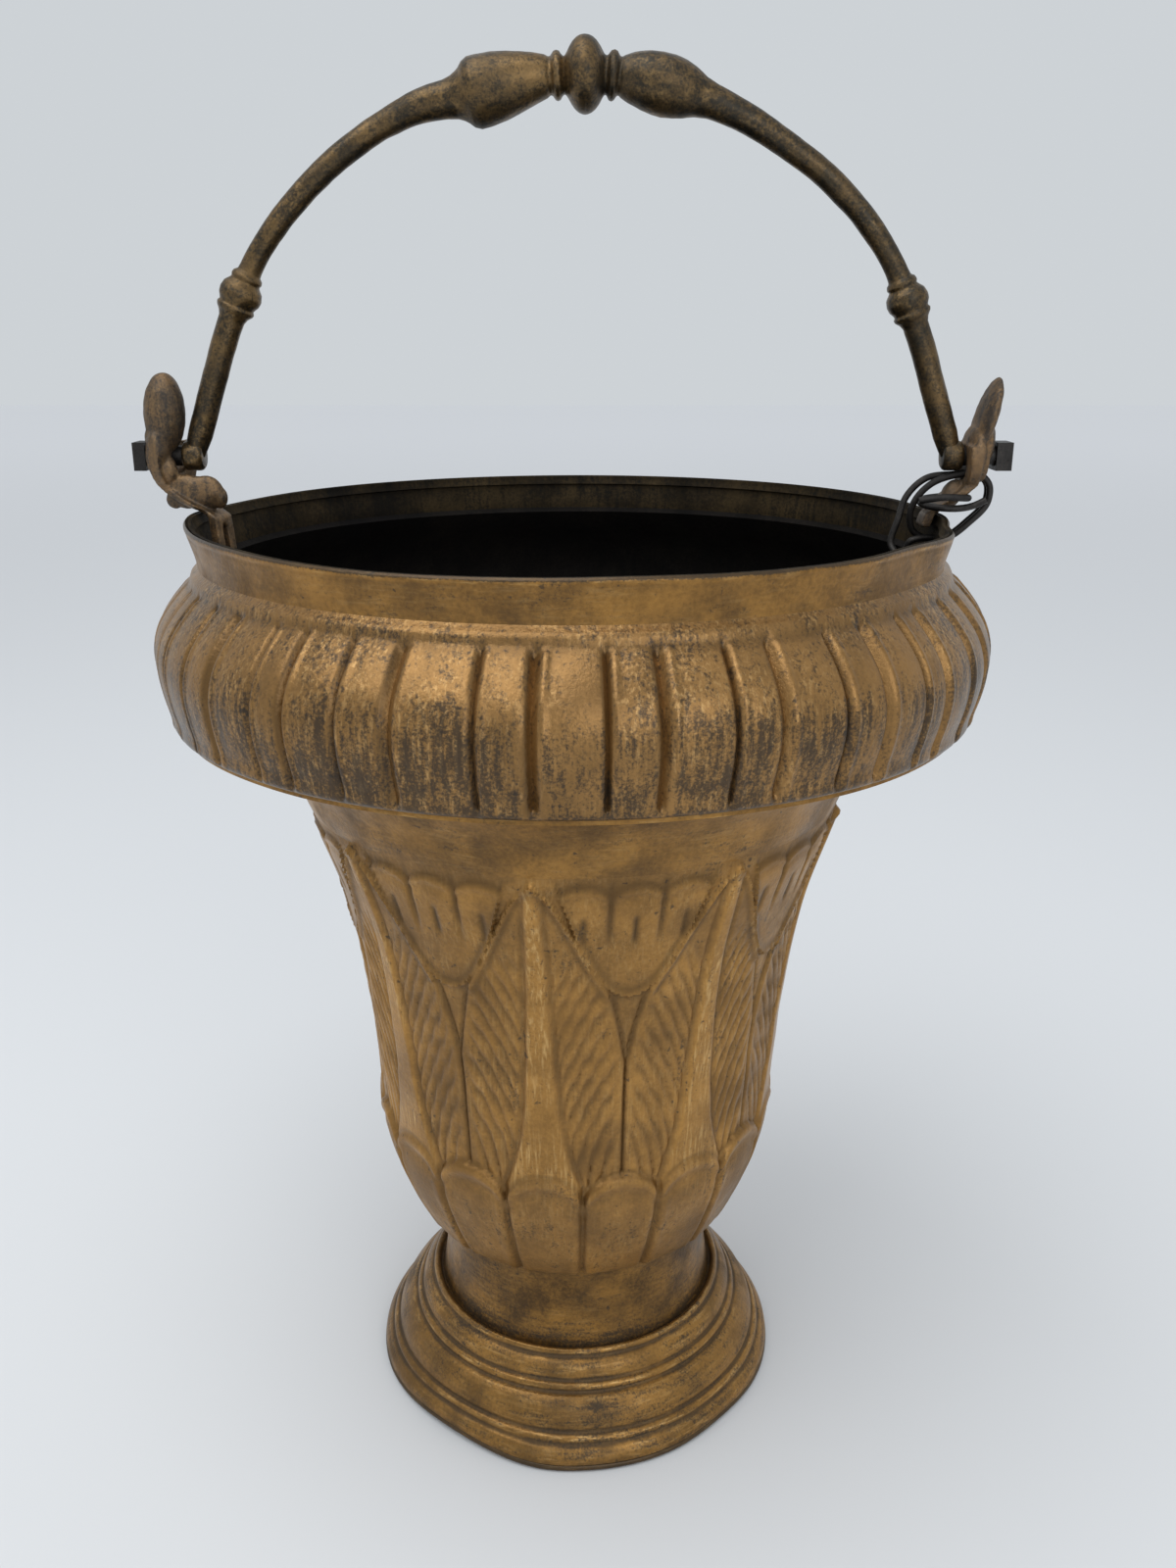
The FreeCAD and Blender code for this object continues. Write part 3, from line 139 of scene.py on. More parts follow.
def smooth_line(points: Sequence[Sequence[float]], count: int) -> np.ndarray:
    """Sample a smooth curve through points, evenly along its length.

    Args:
        points: Points that the curve passes through.
        count: Number of samples.

    Returns:
        An array of count points.
    """
    knots = np.asarray(points, dtype=float)
    along = run_lengths(knots)
    spans = np.linalg.norm(np.diff(knots, axis=0), axis=1)
    slopes = np.gradient(knots, along, axis=0)
    fine = np.linspace(0.0, along[-1], count * 8)
    span = np.clip(np.searchsorted(along, fine, side="right") - 1, 0, len(spans) - 1)
    share = ((fine - along[span]) / spans[span])[:, None]
    reach = spans[span][:, None]
    curve = ((2 * share ** 3 - 3 * share ** 2 + 1) * knots[span]
             + (share ** 3 - 2 * share ** 2 + share) * reach * slopes[span]
             + (3 * share ** 2 - 2 * share ** 3) * knots[span + 1]
             + (share ** 3 - share ** 2) * reach * slopes[span + 1])
    steps = run_lengths(curve)
    even = np.linspace(0.0, steps[-1], count)
    return np.column_stack([np.interp(even, steps, curve[:, axis]) for axis in range(curve.shape[1])])


def store(mesh: bpy.types.Mesh, label: str, values: np.ndarray, kind: str = "FLOAT",
          domain: str = "POINT") -> None:
    """Keep numbers with a mesh's points or faces.

    Args:
        mesh: The mesh.
        label: The attribute's name.
        values: One number for each point or face.
        kind: The attribute's type.
        domain: What the numbers belong to.
    """
    mesh.attributes.new(label, kind, domain).data.foreach_set("value", values.ravel())


def read_points(mesh: bpy.types.Mesh, field: str = "co") -> np.ndarray:
    """Read a vector from each of a mesh's points.

    Args:
        mesh: The mesh.
        field: The vector's name.

    Returns:
        An array with one row for each point.
    """
    flat = np.empty(len(mesh.vertices) * 3)
    mesh.vertices.foreach_get(field, flat)
    return flat.reshape(-1, 3)


def move_points(mesh: bpy.types.Mesh, places: np.ndarray) -> None:
    """Put a mesh's points at places in millimetres."""
    mesh.vertices.foreach_set("co", (places * MM).ravel())
    mesh.update()


def coat(piece: bpy.types.Object, finish: "Finish") -> None:
    """Give a piece one finish all over."""
    piece.data.materials.clear()
    piece.data.materials.append(finish.material())


def keep_result(tool: bpy.types.Object, name: str) -> bpy.types.Object:
    """Turn an object with modifiers into a plain piece.

    Args:
        tool: The object, which is removed.
        name: The piece's name.

    Returns:
        The piece.
    """
    ready = tool.evaluated_get(bpy.context.evaluated_depsgraph_get())
    mesh = bpy.data.meshes.new_from_object(ready)
    start = tool.data
    tool.modifiers.clear()
    bpy.data.objects.remove(tool)
    if isinstance(start, bpy.types.Mesh):
        bpy.data.meshes.remove(start)
    mesh.name = name
    return add_object(name, mesh)


def add_object(name: str, data: bpy.types.ID) -> bpy.types.Object:
    """Put a mesh, curve, lamp or camera into the scene.

    Args:
        name: The object's name.
        data: What it shows.

    Returns:
        The new object.
    """
    made = bpy.data.objects.new(name, data)
    bpy.context.collection.objects.link(made)
    return made


def dress(piece: bpy.types.Object, body: BodyName, nodes: Sequence[str]) -> None:
    """Shade a finished piece smooth, tell the frame what it is and report it.

    Args:
        piece: The finished piece.
        body: The body that it rides on.
        nodes: The solids that it stands for.
    """
    mesh = piece.data
    mesh.polygons.foreach_set("use_smooth", np.ones(len(mesh.polygons), dtype=bool))
    mesh.set_sharp_from_angle(angle=math.radians(55.0))
    mesh.update()
    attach(piece, body.value)
    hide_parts(*nodes)
    triangles = sum(len(face.vertices) - 2 for face in mesh.polygons)
    LOG.info("%s: %d triangles on %s", piece.name, triangles, body.value)


class Nodes:
    """A node tree with short calls that add and join nodes."""

    def __init__(self, tree: bpy.types.NodeTree) -> None:
        """Hold the tree that nodes are added to."""
        self.tree = tree

    def add(self, kind: str, inputs: dict | None = None, **settings: object) -> bpy.types.Node:
        """Add a node.

        Args:
            kind: The node's type name.
            inputs: Values or sockets for its inputs, by name or index.
            settings: The node's own properties.

        Returns:
            The new node.
        """
        node = self.tree.nodes.new(kind)
        for name, value in settings.items():
            setattr(node, name, value)
        for key, value in (inputs or {}).items():
            self.feed(node.inputs[key], value)
        return node

    def feed(self, socket: bpy.types.NodeSocket, value: object) -> None:
        """Link a socket into an input, or set the input's value.

        Args:
            socket: The input.
            value: The socket to link, or a plain value.
        """
        if isinstance(value, bpy.types.NodeSocket):
            self.tree.links.new(value, socket)
        else:
            socket.default_value = value

    def reckon(self, operation: str, *values: object) -> bpy.types.NodeSocket:
        """One step of arithmetic on sockets or numbers."""
        return self.add("ShaderNodeMath", dict(enumerate(values)), operation=operation).outputs[0]

    def blend(self, *terms: tuple[object, float]) -> bpy.types.NodeSocket:
        """Add sockets up, each by its own share.

        Args:
            terms: Pairs of a socket and its share.

        Returns:
            The sum.
        """
        parts = [self.reckon("MULTIPLY", value, share) for value, share in terms]
        total = parts[0]
        for part in parts[1:]:
            total = self.reckon("ADD", total, part)
        return total

    def scaled(self, vector: object, scale: object) -> bpy.types.NodeSocket:
        """A vector made longer or shorter."""
        node = self.add("ShaderNodeVectorMath", {0: vector, "Scale": scale}, operation="SCALE")
        return node.outputs["Vector"]

    def stored(self, label: str) -> bpy.types.NodeSocket:
        """A number that was stored with the mesh."""
        return self.add("ShaderNodeAttribute", attribute_name=label).outputs["Fac"]

    def spread(self, value: object, low: float, high: float, to_low: float = 0.0,
               to_high: float = 1.0) -> bpy.types.NodeSocket:
        """Map a value smoothly from one range to another, and hold it there.

        Args:
            value: The value.
            low: Low end of its range.
            high: High end of its range.
            to_low: What the low end becomes.
            to_high: What the high end becomes.

        Returns:
            The mapped value.
        """
        node = self.add("ShaderNodeMapRange", {"Value": value, "From Min": low, "From Max": high,
                                               "To Min": to_low, "To Max": to_high},
                        interpolation_type="SMOOTHSTEP")
        return node.outputs["Result"]

    def mix(self, share: object, first: object, second: object) -> bpy.types.NodeSocket:
        """Mix two colours.

        Args:
            share: The second colour's share.
            first: One colour.
            second: The other colour.

        Returns:
            The mixed colour.
        """
        node = self.add("ShaderNodeMix", data_type="RGBA")
        for name, value in (("Factor_Float", share), ("A_Color", first), ("B_Color", second)):
            self.feed(next(item for item in node.inputs if item.identifier == name), value)
        return next(item for item in node.outputs if item.identifier == "Result_Color")

    def noise(self, place: object, scale: float, detail: float, roughness: float,
              stretch: object = None) -> bpy.types.NodeSocket:
        """Cloudy noise.

        Args:
            place: The coordinates that it reads.
            scale: How fine it is.
            detail: How many finer layers it has.
            roughness: How strong the finer layers are.
            stretch: Scale along each axis, if it isn't even.

        Returns:
            The noise, around a half.
        """
        if stretch is not None:
            place = self.add("ShaderNodeMapping", {"Vector": place, "Scale": stretch}).outputs["Vector"]
        node = self.add("ShaderNodeTexNoise", {"Vector": place, "Scale": scale, "Detail": detail,
                                               "Roughness": roughness})
        return node.outputs["Fac"]


class SharedTree:
    """A node tree that is built once and then used by many materials or pieces."""

    name = "tree"
    kind = "ShaderNodeTree"
    inputs: dict[str, Socket] = {}
    outputs: dict[str, Socket] = {}

    def tree(self) -> bpy.types.NodeTree:
        """The tree, made at the first call.

        Returns:
            The shared node tree.
        """
        made = bpy.data.node_groups.get(self.name)
        if made is not None:
            return made
        made = bpy.data.node_groups.new(self.name, self.kind)
        for way, sockets in (("INPUT", self.inputs), ("OUTPUT", self.outputs)):
            for label, socket in sockets.items():
                made.interface.new_socket(label, in_out=way, socket_type=socket.value)
        nodes = Nodes(made)
        enter = nodes.add("NodeGroupInput")
        leave = nodes.add("NodeGroupOutput")
        for label, socket in self.fill(nodes, enter.outputs).items():
            nodes.feed(leave.inputs[label], socket)
        return made

    def fill(self, nodes: Nodes, enter: bpy.types.NodeOutputs) -> dict[str, bpy.types.NodeSocket]:
        """Build the tree between its inputs and its outputs.

        Args:
            nodes: The tree's nodes.
            enter: The tree's inputs.

        Returns:
            The sockets that feed its outputs, by name.
        """
        raise NotImplementedError


class ShaderGroup(SharedTree):
    """An effect that several finishes share."""

    def place(self, nodes: Nodes, **values: object) -> bpy.types.NodeOutputs:
        """Put the group into a material.

        Args:
            nodes: The material's nodes.
            values: The group's inputs by name.

        Returns:
            The group's outputs.
        """
        return nodes.add("ShaderNodeGroup", values, node_tree=self.tree()).outputs


class PaintWear(ShaderGroup):
    """Where brushed paint has rubbed away: bare patches, dark specks, and pale brush marks that double as
    painted highlights on raised work.
    """

    name = "paint_wear"
    inputs = {"Place": Socket.VECTOR, "Relief": Socket.NUMBER, "Wear": Socket.NUMBER, "Stroke": Socket.VECTOR}
    outputs = {"Bare": Socket.NUMBER, "Specks": Socket.NUMBER, "Brush": Socket.NUMBER}
    cloud_scale = 46.0
    streak_scale = 560.0
    grit_scale = 1300.0
    fleck_scale = 420.0
    mark_scale = 1150.0
    whole_paint = 1.60
    most_bare = 0.82
    flat_brush = 0.35

    def fill(self, nodes: Nodes, enter: bpy.types.NodeOutputs) -> dict[str, bpy.types.NodeSocket]:
        """Bare patches grow with wear; brush marks run along the stroke and, as painted highlights, show most
        on raised work.

        Args:
            nodes: The tree's nodes.
            enter: The tree's inputs.

        Returns:
            The three masks.
        """
        place = enter["Place"]
        cloud = nodes.noise(place, self.cloud_scale, 4.0, 0.6)
        streak = nodes.noise(place, self.streak_scale, 3.0, 0.6, enter["Stroke"])
        grit = nodes.noise(place, self.grit_scale, 2.0, 0.7)
        found = nodes.blend((cloud, 0.75), (streak, 0.90), (grit, 0.90))
        need = nodes.reckon("SUBTRACT", self.whole_paint, nodes.reckon("MULTIPLY", enter["Wear"], 0.9))
        bare = nodes.spread(nodes.reckon("SUBTRACT", found, need), -0.13, 0.25, 0.0, self.most_bare)
        fleck = nodes.noise(place, self.fleck_scale, 2.0, 0.5)
        specks = nodes.spread(nodes.blend((fleck, 1.0), (cloud, 0.30)), 0.83, 0.92)
        marks = nodes.noise(place, self.mark_scale, 3.0, 0.6, enter["Stroke"])
        # Painted highlight: the pale marks are strongest where the relief is high.
        ridge = nodes.spread(enter["Relief"], 0.62, 0.90, self.flat_brush, 1.0)
        brush = nodes.reckon("MULTIPLY", nodes.spread(marks, 0.47, 0.68), nodes.spread(cloud, 0.36, 0.62))
        return {"Bare": bare, "Specks": specks, "Brush": nodes.reckon("MULTIPLY", brush, ridge)}


class MetalGrain(ShaderGroup):
    """Small unevenness of hand-worked metal: a height for bump and a change of tone."""

    name = "metal_grain"
    inputs = {"Place": Socket.VECTOR, "Scale": Socket.NUMBER}
    outputs = {"Height": Socket.NUMBER, "Tone": Socket.NUMBER}
    dimple_scale = 90.0
    grit_scale = 900.0
    tone_scale = 24.0

    def fill(self, nodes: Nodes, enter: bpy.types.NodeOutputs) -> dict[str, bpy.types.NodeSocket]:
        """Mix soft dimples and fine grit.

        Args:
            nodes: The tree's nodes.
            enter: The tree's inputs.

        Returns:
            The height and the tone.
        """
        place = nodes.scaled(enter["Place"], enter["Scale"])
        dimple = nodes.noise(place, self.dimple_scale, 3.0, 0.5)
        grit = nodes.noise(place, self.grit_scale, 3.0, 0.6)
        height = nodes.blend((dimple, 0.55), (grit, 0.45))
        return {"Height": height, "Tone": nodes.noise(place, self.tone_scale, 5.0, 0.6)}


class Grime(ShaderGroup):
    """Dark dirt that stays in sunk work and lies in clouds."""

    name = "grime"
    inputs = {"Place": Socket.VECTOR, "Relief": Socket.NUMBER, "Amount": Socket.NUMBER}
    outputs = {"Dirt": Socket.NUMBER}
    cloud_scale = 60.0
    clean_relief = 0.62

    def fill(self, nodes: Nodes, enter: bpy.types.NodeOutputs) -> dict[str, bpy.types.NodeSocket]:
        """Lay more dirt where the relief is low.

        Args:
            nodes: The tree's nodes.
            enter: The tree's inputs.

        Returns:
            The dirt's share.
        """
        cloud = nodes.noise(enter["Place"], self.cloud_scale, 5.0, 0.6)
        sunk = nodes.reckon("SUBTRACT", self.clean_relief, enter["Relief"])
        found = nodes.blend((cloud, 1.0), (sunk, 0.6))
        return {"Dirt": nodes.reckon("MULTIPLY", nodes.spread(found, 0.40, 0.80), enter["Amount"])}


LINE_BROWN: Colour = (0.055, 0.030, 0.010, 1.0)
STROKES_UPRIGHT: Triple = (1.0, 1.0, 0.07)
STROKES_ROUND: Triple = (0.14, 0.14, 1.1)
STROKES_ALONG_BAIL: Triple = (0.5, 1.0, 0.5)
PLAIN_RELIEF = 0.5
BRUSH_AND_HIGHLIGHT_SHARE = 0.70
SPECK_SHARE = 0.7
GRAIN_HEIGHT = 0.4 * MM


@dataclass(frozen=True)
class Finish:
    """A metal finish: its colours and how worn, dirty and rough it is."""

    name: str
    main: Colour
    deep: Colour
    # The rubbed colour is also the colour of painted highlights on raised work.
    rubbed: Colour
    bare: Colour
    wear: float
    dirt: float
    metallic: float
    smooth_roughness: float
    rough_roughness: float
    grain_depth: float
    grain_scale: float = 1.0
    relief_on_mesh: bool = True
    stroke: Triple = STROKES_UPRIGHT
    specular: float = 0.5

    def material(self) -> bpy.types.Material:
        """The finish as a material, made at the first call.

        Returns:
            The material.
        """
        made = bpy.data.materials.get(self.name)
        if made is not None:
            return made
        made = bpy.data.materials.new(self.name)
        made.use_nodes = True
        made.node_tree.nodes.clear()
        nodes = Nodes(made.node_tree)
        place = nodes.add("ShaderNodeTexCoord").outputs["Object"]
        relief: object = PLAIN_RELIEF
        wear: object = self.wear
        if self.relief_on_mesh:
            relief = nodes.stored("relief")
            # The stored rubbed numbers carry wear, and painted shade on the neck and the petals.
            wear = nodes.reckon("ADD", nodes.stored("rubbed"), self.wear)
        paint = PaintWear().place(nodes, Place=place, Relief=relief, Wear=wear, Stroke=self.stroke)
        grain = MetalGrain().place(nodes, Place=place, Scale=self.grain_scale)
        dirt = Grime().place(nodes, Place=place, Relief=relief, Amount=self.dirt)["Dirt"]
        tone = nodes.blend((grain["Tone"], 0.5), (grain["Height"], 0.5))
        colour = nodes.mix(nodes.spread(tone, 0.37, 0.63), self.deep, self.main)
        colour = nodes.mix(nodes.reckon("MULTIPLY", paint["Brush"], BRUSH_AND_HIGHLIGHT_SHARE), colour, self.rubbed)
        colour = nodes.mix(dirt, colour, self.bare)
        if self.relief_on_mesh:
            gaps = nodes.spread(grain["Height"], 0.30, 0.52, 0.45, 1.0)
            # Drawn lines in line brown; on the shoulder they are painted shade.
            colour = nodes.mix(nodes.reckon("MULTIPLY", nodes.stored("ink"), gaps), colour, LINE_BROWN)
        colour = nodes.mix(paint["Bare"], colour, self.bare)
        colour = nodes.mix(nodes.reckon("MULTIPLY", paint["Specks"], SPECK_SHARE), colour, self.bare)
        rough = nodes.spread(nodes.blend((dirt, 1.0), (grain["Tone"], 0.6)), 0.1, 0.9,
                             self.smooth_roughness, self.rough_roughness)
        bump = nodes.add("ShaderNodeBump", {"Height": grain["Height"], "Strength": self.grain_depth,
                                            "Distance": GRAIN_HEIGHT})
        shader = nodes.add("ShaderNodeBsdfPrincipled", {
            "Base Color": colour, "Roughness": rough, "Metallic": self.metallic,
            "Specular IOR Level": self.specular, "Normal": bump.outputs["Normal"]})
        nodes.add("ShaderNodeOutputMaterial", {"Surface": shader.outputs["BSDF"]})
        return made


GILT = Finish(
    "gilt_paint", main=(0.435, 0.226, 0.057, 1.0), deep=(0.235, 0.120, 0.030, 1.0),
    rubbed=(0.66, 0.42, 0.165, 1.0), bare=(0.036, 0.029, 0.022, 1.0), wear=0.10, dirt=0.36, metallic=0.66,
    smooth_roughness=0.29, rough_roughness=0.60, grain_depth=0.75)
SHOULDER_GILT = Finish(
    "shoulder_gilt_paint", main=(0.312, 0.168, 0.053, 1.0), deep=(0.190, 0.102, 0.032, 1.0),
    rubbed=(0.54, 0.33, 0.130, 1.0), bare=(0.028, 0.023, 0.019, 1.0), wear=0.29, dirt=0.0, metallic=0.66,
    smooth_roughness=0.27, rough_roughness=0.58, grain_depth=0.80)
# Painted light: the collar and the flare face down into shade, so they get their own gilt copy, set lighter
# to make up for it.
COLLAR_LIT_GILT = Finish(
    "collar_lit_gilt_paint", main=(0.365, 0.186, 0.042, 1.0), deep=(0.145, 0.073, 0.018, 1.0),
    rubbed=(0.50, 0.31, 0.115, 1.0), bare=(0.036, 0.029, 0.022, 1.0), wear=0.13, dirt=0.45, metallic=0.64,
    smooth_roughness=0.29, rough_roughness=0.60, grain_depth=0.65, stroke=STROKES_ROUND)
FOOT_GILT = Finish(
    "foot_gilt_paint", main=(0.330, 0.170, 0.040, 1.0), deep=(0.150, 0.078, 0.020, 1.0),
    rubbed=(0.62, 0.39, 0.15, 1.0), bare=(0.040, 0.031, 0.022, 1.0), wear=0.25, dirt=0.72, metallic=0.66,
    smooth_roughness=0.29, rough_roughness=0.60, grain_depth=0.65, stroke=STROKES_ROUND)
# Painted shade: a darker copy of the foot's gilt for the neck, which stands in shade.
NECK_SHADED_GILT = Finish(
    "neck_shaded_gilt_paint", main=(0.310, 0.155, 0.032, 1.0), deep=(0.070, 0.036, 0.010, 1.0),
    rubbed=(0.46, 0.27, 0.09, 1.0), bare=(0.036, 0.028, 0.020, 1.0), wear=0.16, dirt=0.50, metallic=0.66,
    smooth_roughness=0.29, rough_roughness=0.60, grain_depth=0.65, stroke=STROKES_ROUND)
# Painted shade: near-black, barely reflecting faces inside the bucket and on the shoulder's ends, standing in
# for the shade there.
INSIDE_SHADE = Finish(
    "inside_painted_shade", main=(0.012, 0.010, 0.008, 1.0), deep=(0.005, 0.004, 0.004, 1.0),
    rubbed=(0.024, 0.018, 0.013, 1.0), bare=(0.004, 0.004, 0.004, 1.0), wear=0.2, dirt=0.7, metallic=0.0,
    smooth_roughness=0.65, rough_roughness=0.9, grain_depth=0.4, relief_on_mesh=False, specular=0.08)
INNER_COLLAR = Finish(
    "brown_inside", main=(0.052, 0.035, 0.015, 1.0), deep=(0.008, 0.006, 0.004, 1.0),
    rubbed=(0.060, 0.038, 0.017, 1.0), bare=(0.006, 0.006, 0.005, 1.0), wear=0.30, dirt=0.5, metallic=0.2,
    smooth_roughness=0.6, rough_roughness=0.85, grain_depth=0.4, relief_on_mesh=False, specular=0.1)
BAIL_BRONZE = Finish(
    "bail_bronze_patina", main=(0.205, 0.124, 0.047, 1.0), deep=(0.042, 0.032, 0.019, 1.0),
    rubbed=(0.52, 0.33, 0.13, 1.0), bare=(0.020, 0.020, 0.017, 1.0), wear=0.36, dirt=0.50, metallic=0.72,
    smooth_roughness=0.22, rough_roughness=0.52, grain_depth=0.5, grain_scale=1.6, relief_on_mesh=False,
    stroke=STROKES_ALONG_BAIL)
EAR_BRONZE = Finish(
    "ear_bronze_patina", main=(0.238, 0.140, 0.062, 1.0), deep=(0.085, 0.063, 0.042, 1.0),
    rubbed=(0.48, 0.29, 0.11, 1.0), bare=(0.034, 0.031, 0.028, 1.0), wear=0.32, dirt=0.55, metallic=0.6,
    smooth_roughness=0.36, rough_roughness=0.66, grain_depth=0.5, grain_scale=1.6, relief_on_mesh=False)
DARK_IRON = Finish(
    "dark_iron", main=(0.050, 0.046, 0.043, 1.0), deep=(0.028, 0.026, 0.025, 1.0),
    rubbed=(0.10, 0.085, 0.07, 1.0), bare=(0.018, 0.017, 0.017, 1.0), wear=0.2, dirt=0.5, metallic=0.8,
    smooth_roughness=0.35, rough_roughness=0.65, grain_depth=0.5, grain_scale=2.0, relief_on_mesh=False)


class ShapeTree(SharedTree):
    """A geometry node tree that makes a piece from a starting mesh."""

    kind = "GeometryNodeTree"

    def run(self, start: bpy.types.Mesh, name: str, values: dict[str, object]) -> bpy.types.Object:
        """Run the tree over a mesh and keep the result as a plain piece.

        Args:
            start: The mesh that it starts from, which is used up.
            name: The piece's name.
            values: The tree's inputs by name.

        Returns:
            The result as an object with no modifier.
        """
        tool = add_object(f"{name}_start", start)
        modifier = tool.modifiers.new("Tree", "NODES")
        modifier.node_group = self.tree()
        for item in modifier.node_group.interface.items_tree:
            if item.item_type == "SOCKET" and item.in_out == "INPUT" and item.name in values:
                modifier[item.identifier] = values[item.name]
        return keep_result(tool, name)


class RingRepeat(ShapeTree):
    """Repeats one sector of a turned piece round the axis."""

    name = "ring_repeat"
    inputs = {"Sector": Socket.SHAPE, "Count": Socket.COUNT, "Seam": Socket.NUMBER,
              "Outside": Socket.FINISH, "Inside": Socket.FINISH}
    outputs = {"Ring": Socket.SHAPE}
    seam = 0.004 * MM

    def fill(self, nodes: Nodes, enter: bpy.types.NodeOutputs) -> dict[str, bpy.types.NodeSocket]:
        """Turn a copy of the sector to each step, join the seams and coat both sides.

        Args:
            nodes: The tree's nodes.
            enter: The tree's inputs.

        Returns:
            The ring.
        """
        points = nodes.add("GeometryNodePoints", {"Count": enter["Count"]})
        sector = nodes.add("GeometryNodeGeometryToInstance", {"Geometry": enter["Sector"]})
        index = nodes.add("GeometryNodeInputIndex").outputs[0]
        step = nodes.reckon("DIVIDE", math.tau, enter["Count"])
        turn = nodes.add("FunctionNodeAxisAngleToRotation",
                         {"Axis": (0.0, 0.0, 1.0), "Angle": nodes.reckon("MULTIPLY", index, step)})
        copies = nodes.add("GeometryNodeInstanceOnPoints", {
            "Points": points.outputs[0], "Instance": sector.outputs[0], "Rotation": turn.outputs[0]})
        real = nodes.add("GeometryNodeRealizeInstances", {"Geometry": copies.outputs[0]})
        joined = nodes.add("GeometryNodeMergeByDistance",
                           {"Geometry": real.outputs[0], "Distance": enter["Seam"]})
        coated = nodes.add("GeometryNodeSetMaterial",
                           {"Geometry": joined.outputs[0], "Material": enter["Outside"]})
        inner = nodes.add("GeometryNodeInputNamedAttribute", {"Name": "inside"}, data_type="BOOLEAN")
        lined = nodes.add("GeometryNodeSetMaterial", {
            "Geometry": coated.outputs[0], "Selection": inner.outputs["Attribute"],
            "Material": enter["Inside"]})
        return {"Ring": lined.outputs[0]}

    def apply(self, sector: bpy.types.Mesh, name: str, count: int, outside: Finish,
              inside: Finish) -> bpy.types.Object:
        """Make the whole ring as a plain mesh.

        Args:
            sector: One sector's mesh.
            name: The piece's name.
            count: How many sectors there are.
            outside: Finish of the outer faces.
            inside: Finish of the inner faces.

        Returns:
            The ring as an object with no modifier.
        """
        return self.run(sector, name, {"Count": count, "Seam": self.seam, "Outside": outside.material(),
                                       "Inside": inside.material()})


class SweptRod(ShapeTree):
    """Sweeps a round rod of changing thickness along a route."""

    name = "swept_rod"
    inputs = {"Route": Socket.SHAPE, "Sides": Socket.COUNT, "Uneven": Socket.NUMBER, "Grain": Socket.NUMBER,
              "Seed": Socket.NUMBER, "Finish": Socket.FINISH}
    outputs = {"Rod": Socket.SHAPE}
    grain = 130.0
    seed = 3.0

    def fill(self, nodes: Nodes, enter: bpy.types.NodeOutputs) -> dict[str, bpy.types.NodeSocket]:
        """Sweep a circle along the route, scaled by the stored thickness, and let its skin wander.

        Args:
            nodes: The tree's nodes.
            enter: The tree's inputs.

        Returns:
            The rod.
        """
        route = nodes.add("GeometryNodeMeshToCurve", {"Mesh": enter["Route"]})
        ring = nodes.add("GeometryNodeCurvePrimitiveCircle", {"Resolution": enter["Sides"], "Radius": 1.0})
        thick = nodes.add("GeometryNodeInputNamedAttribute", {"Name": "thick"}, data_type="FLOAT")
        rod = nodes.add("GeometryNodeCurveToMesh", {
            "Curve": route.outputs[0], "Profile Curve": ring.outputs["Curve"],
            "Scale": thick.outputs["Attribute"], "Fill Caps": True})
        place = nodes.add("GeometryNodeInputPosition").outputs[0]
        lumps = nodes.add("ShaderNodeTexNoise", {"Vector": place, "W": enter["Seed"], "Scale": enter["Grain"],
                                                 "Detail": 2.0}, noise_dimensions="4D").outputs["Fac"]
        rise = nodes.reckon("MULTIPLY", nodes.reckon("SUBTRACT", lumps, 0.5), enter["Uneven"])
        push = nodes.scaled(nodes.add("GeometryNodeInputNormal").outputs[0], rise)
        worked = nodes.add("GeometryNodeSetPosition", {"Geometry": rod.outputs[0], "Offset": push})
        real = nodes.add("GeometryNodeRealizeInstances", {"Geometry": worked.outputs[0]})
        coated = nodes.add("GeometryNodeSetMaterial",
                           {"Geometry": real.outputs[0], "Material": enter["Finish"]})
        return {"Rod": coated.outputs[0]}

    def apply(self, name: str, route: np.ndarray, thick: np.ndarray, finish: Finish, sides: int,
              uneven: float) -> bpy.types.Object:
        """Make a rod as a plain mesh.

        Args:
            name: The piece's name.
            route: Points along its middle, in millimetres.
            thick: Its radius at each point, in millimetres.
            finish: Its finish.
            sides: How many points there are round it.
            uneven: How far its surface wanders, in millimetres.

        Returns:
            The rod as an object with no modifier.
        """
        mesh = bpy.data.meshes.new(f"{name}_route")
        links = [(row, row + 1) for row in range(len(route) - 1)]
        mesh.from_pydata((route * MM).tolist(), links, [])
        store(mesh, "thick", thick * MM)
        return self.run(mesh, name, {"Sides": sides, "Uneven": uneven * MM, "Grain": self.grain,
                                     "Seed": self.seed, "Finish": finish.material()})


@dataclass(frozen=True)
class Dent:
    """A soft knock in the sheet: where it is, its size, and how far it pushes out and lifts."""

    angle: float
    height: float
    wide: float
    tall: float
    push: float
    lift: float = 0.0


@dataclass(frozen=True)
class Wave:
    """A slow swing round the axis: how many folds it has, its size and where it starts."""

    folds: float
    size: float
    phase: float

    def at(self, around: np.ndarray) -> np.ndarray:
        """The swing at angles in radians."""
        return self.size * np.sin(self.folds * around + self.phase)


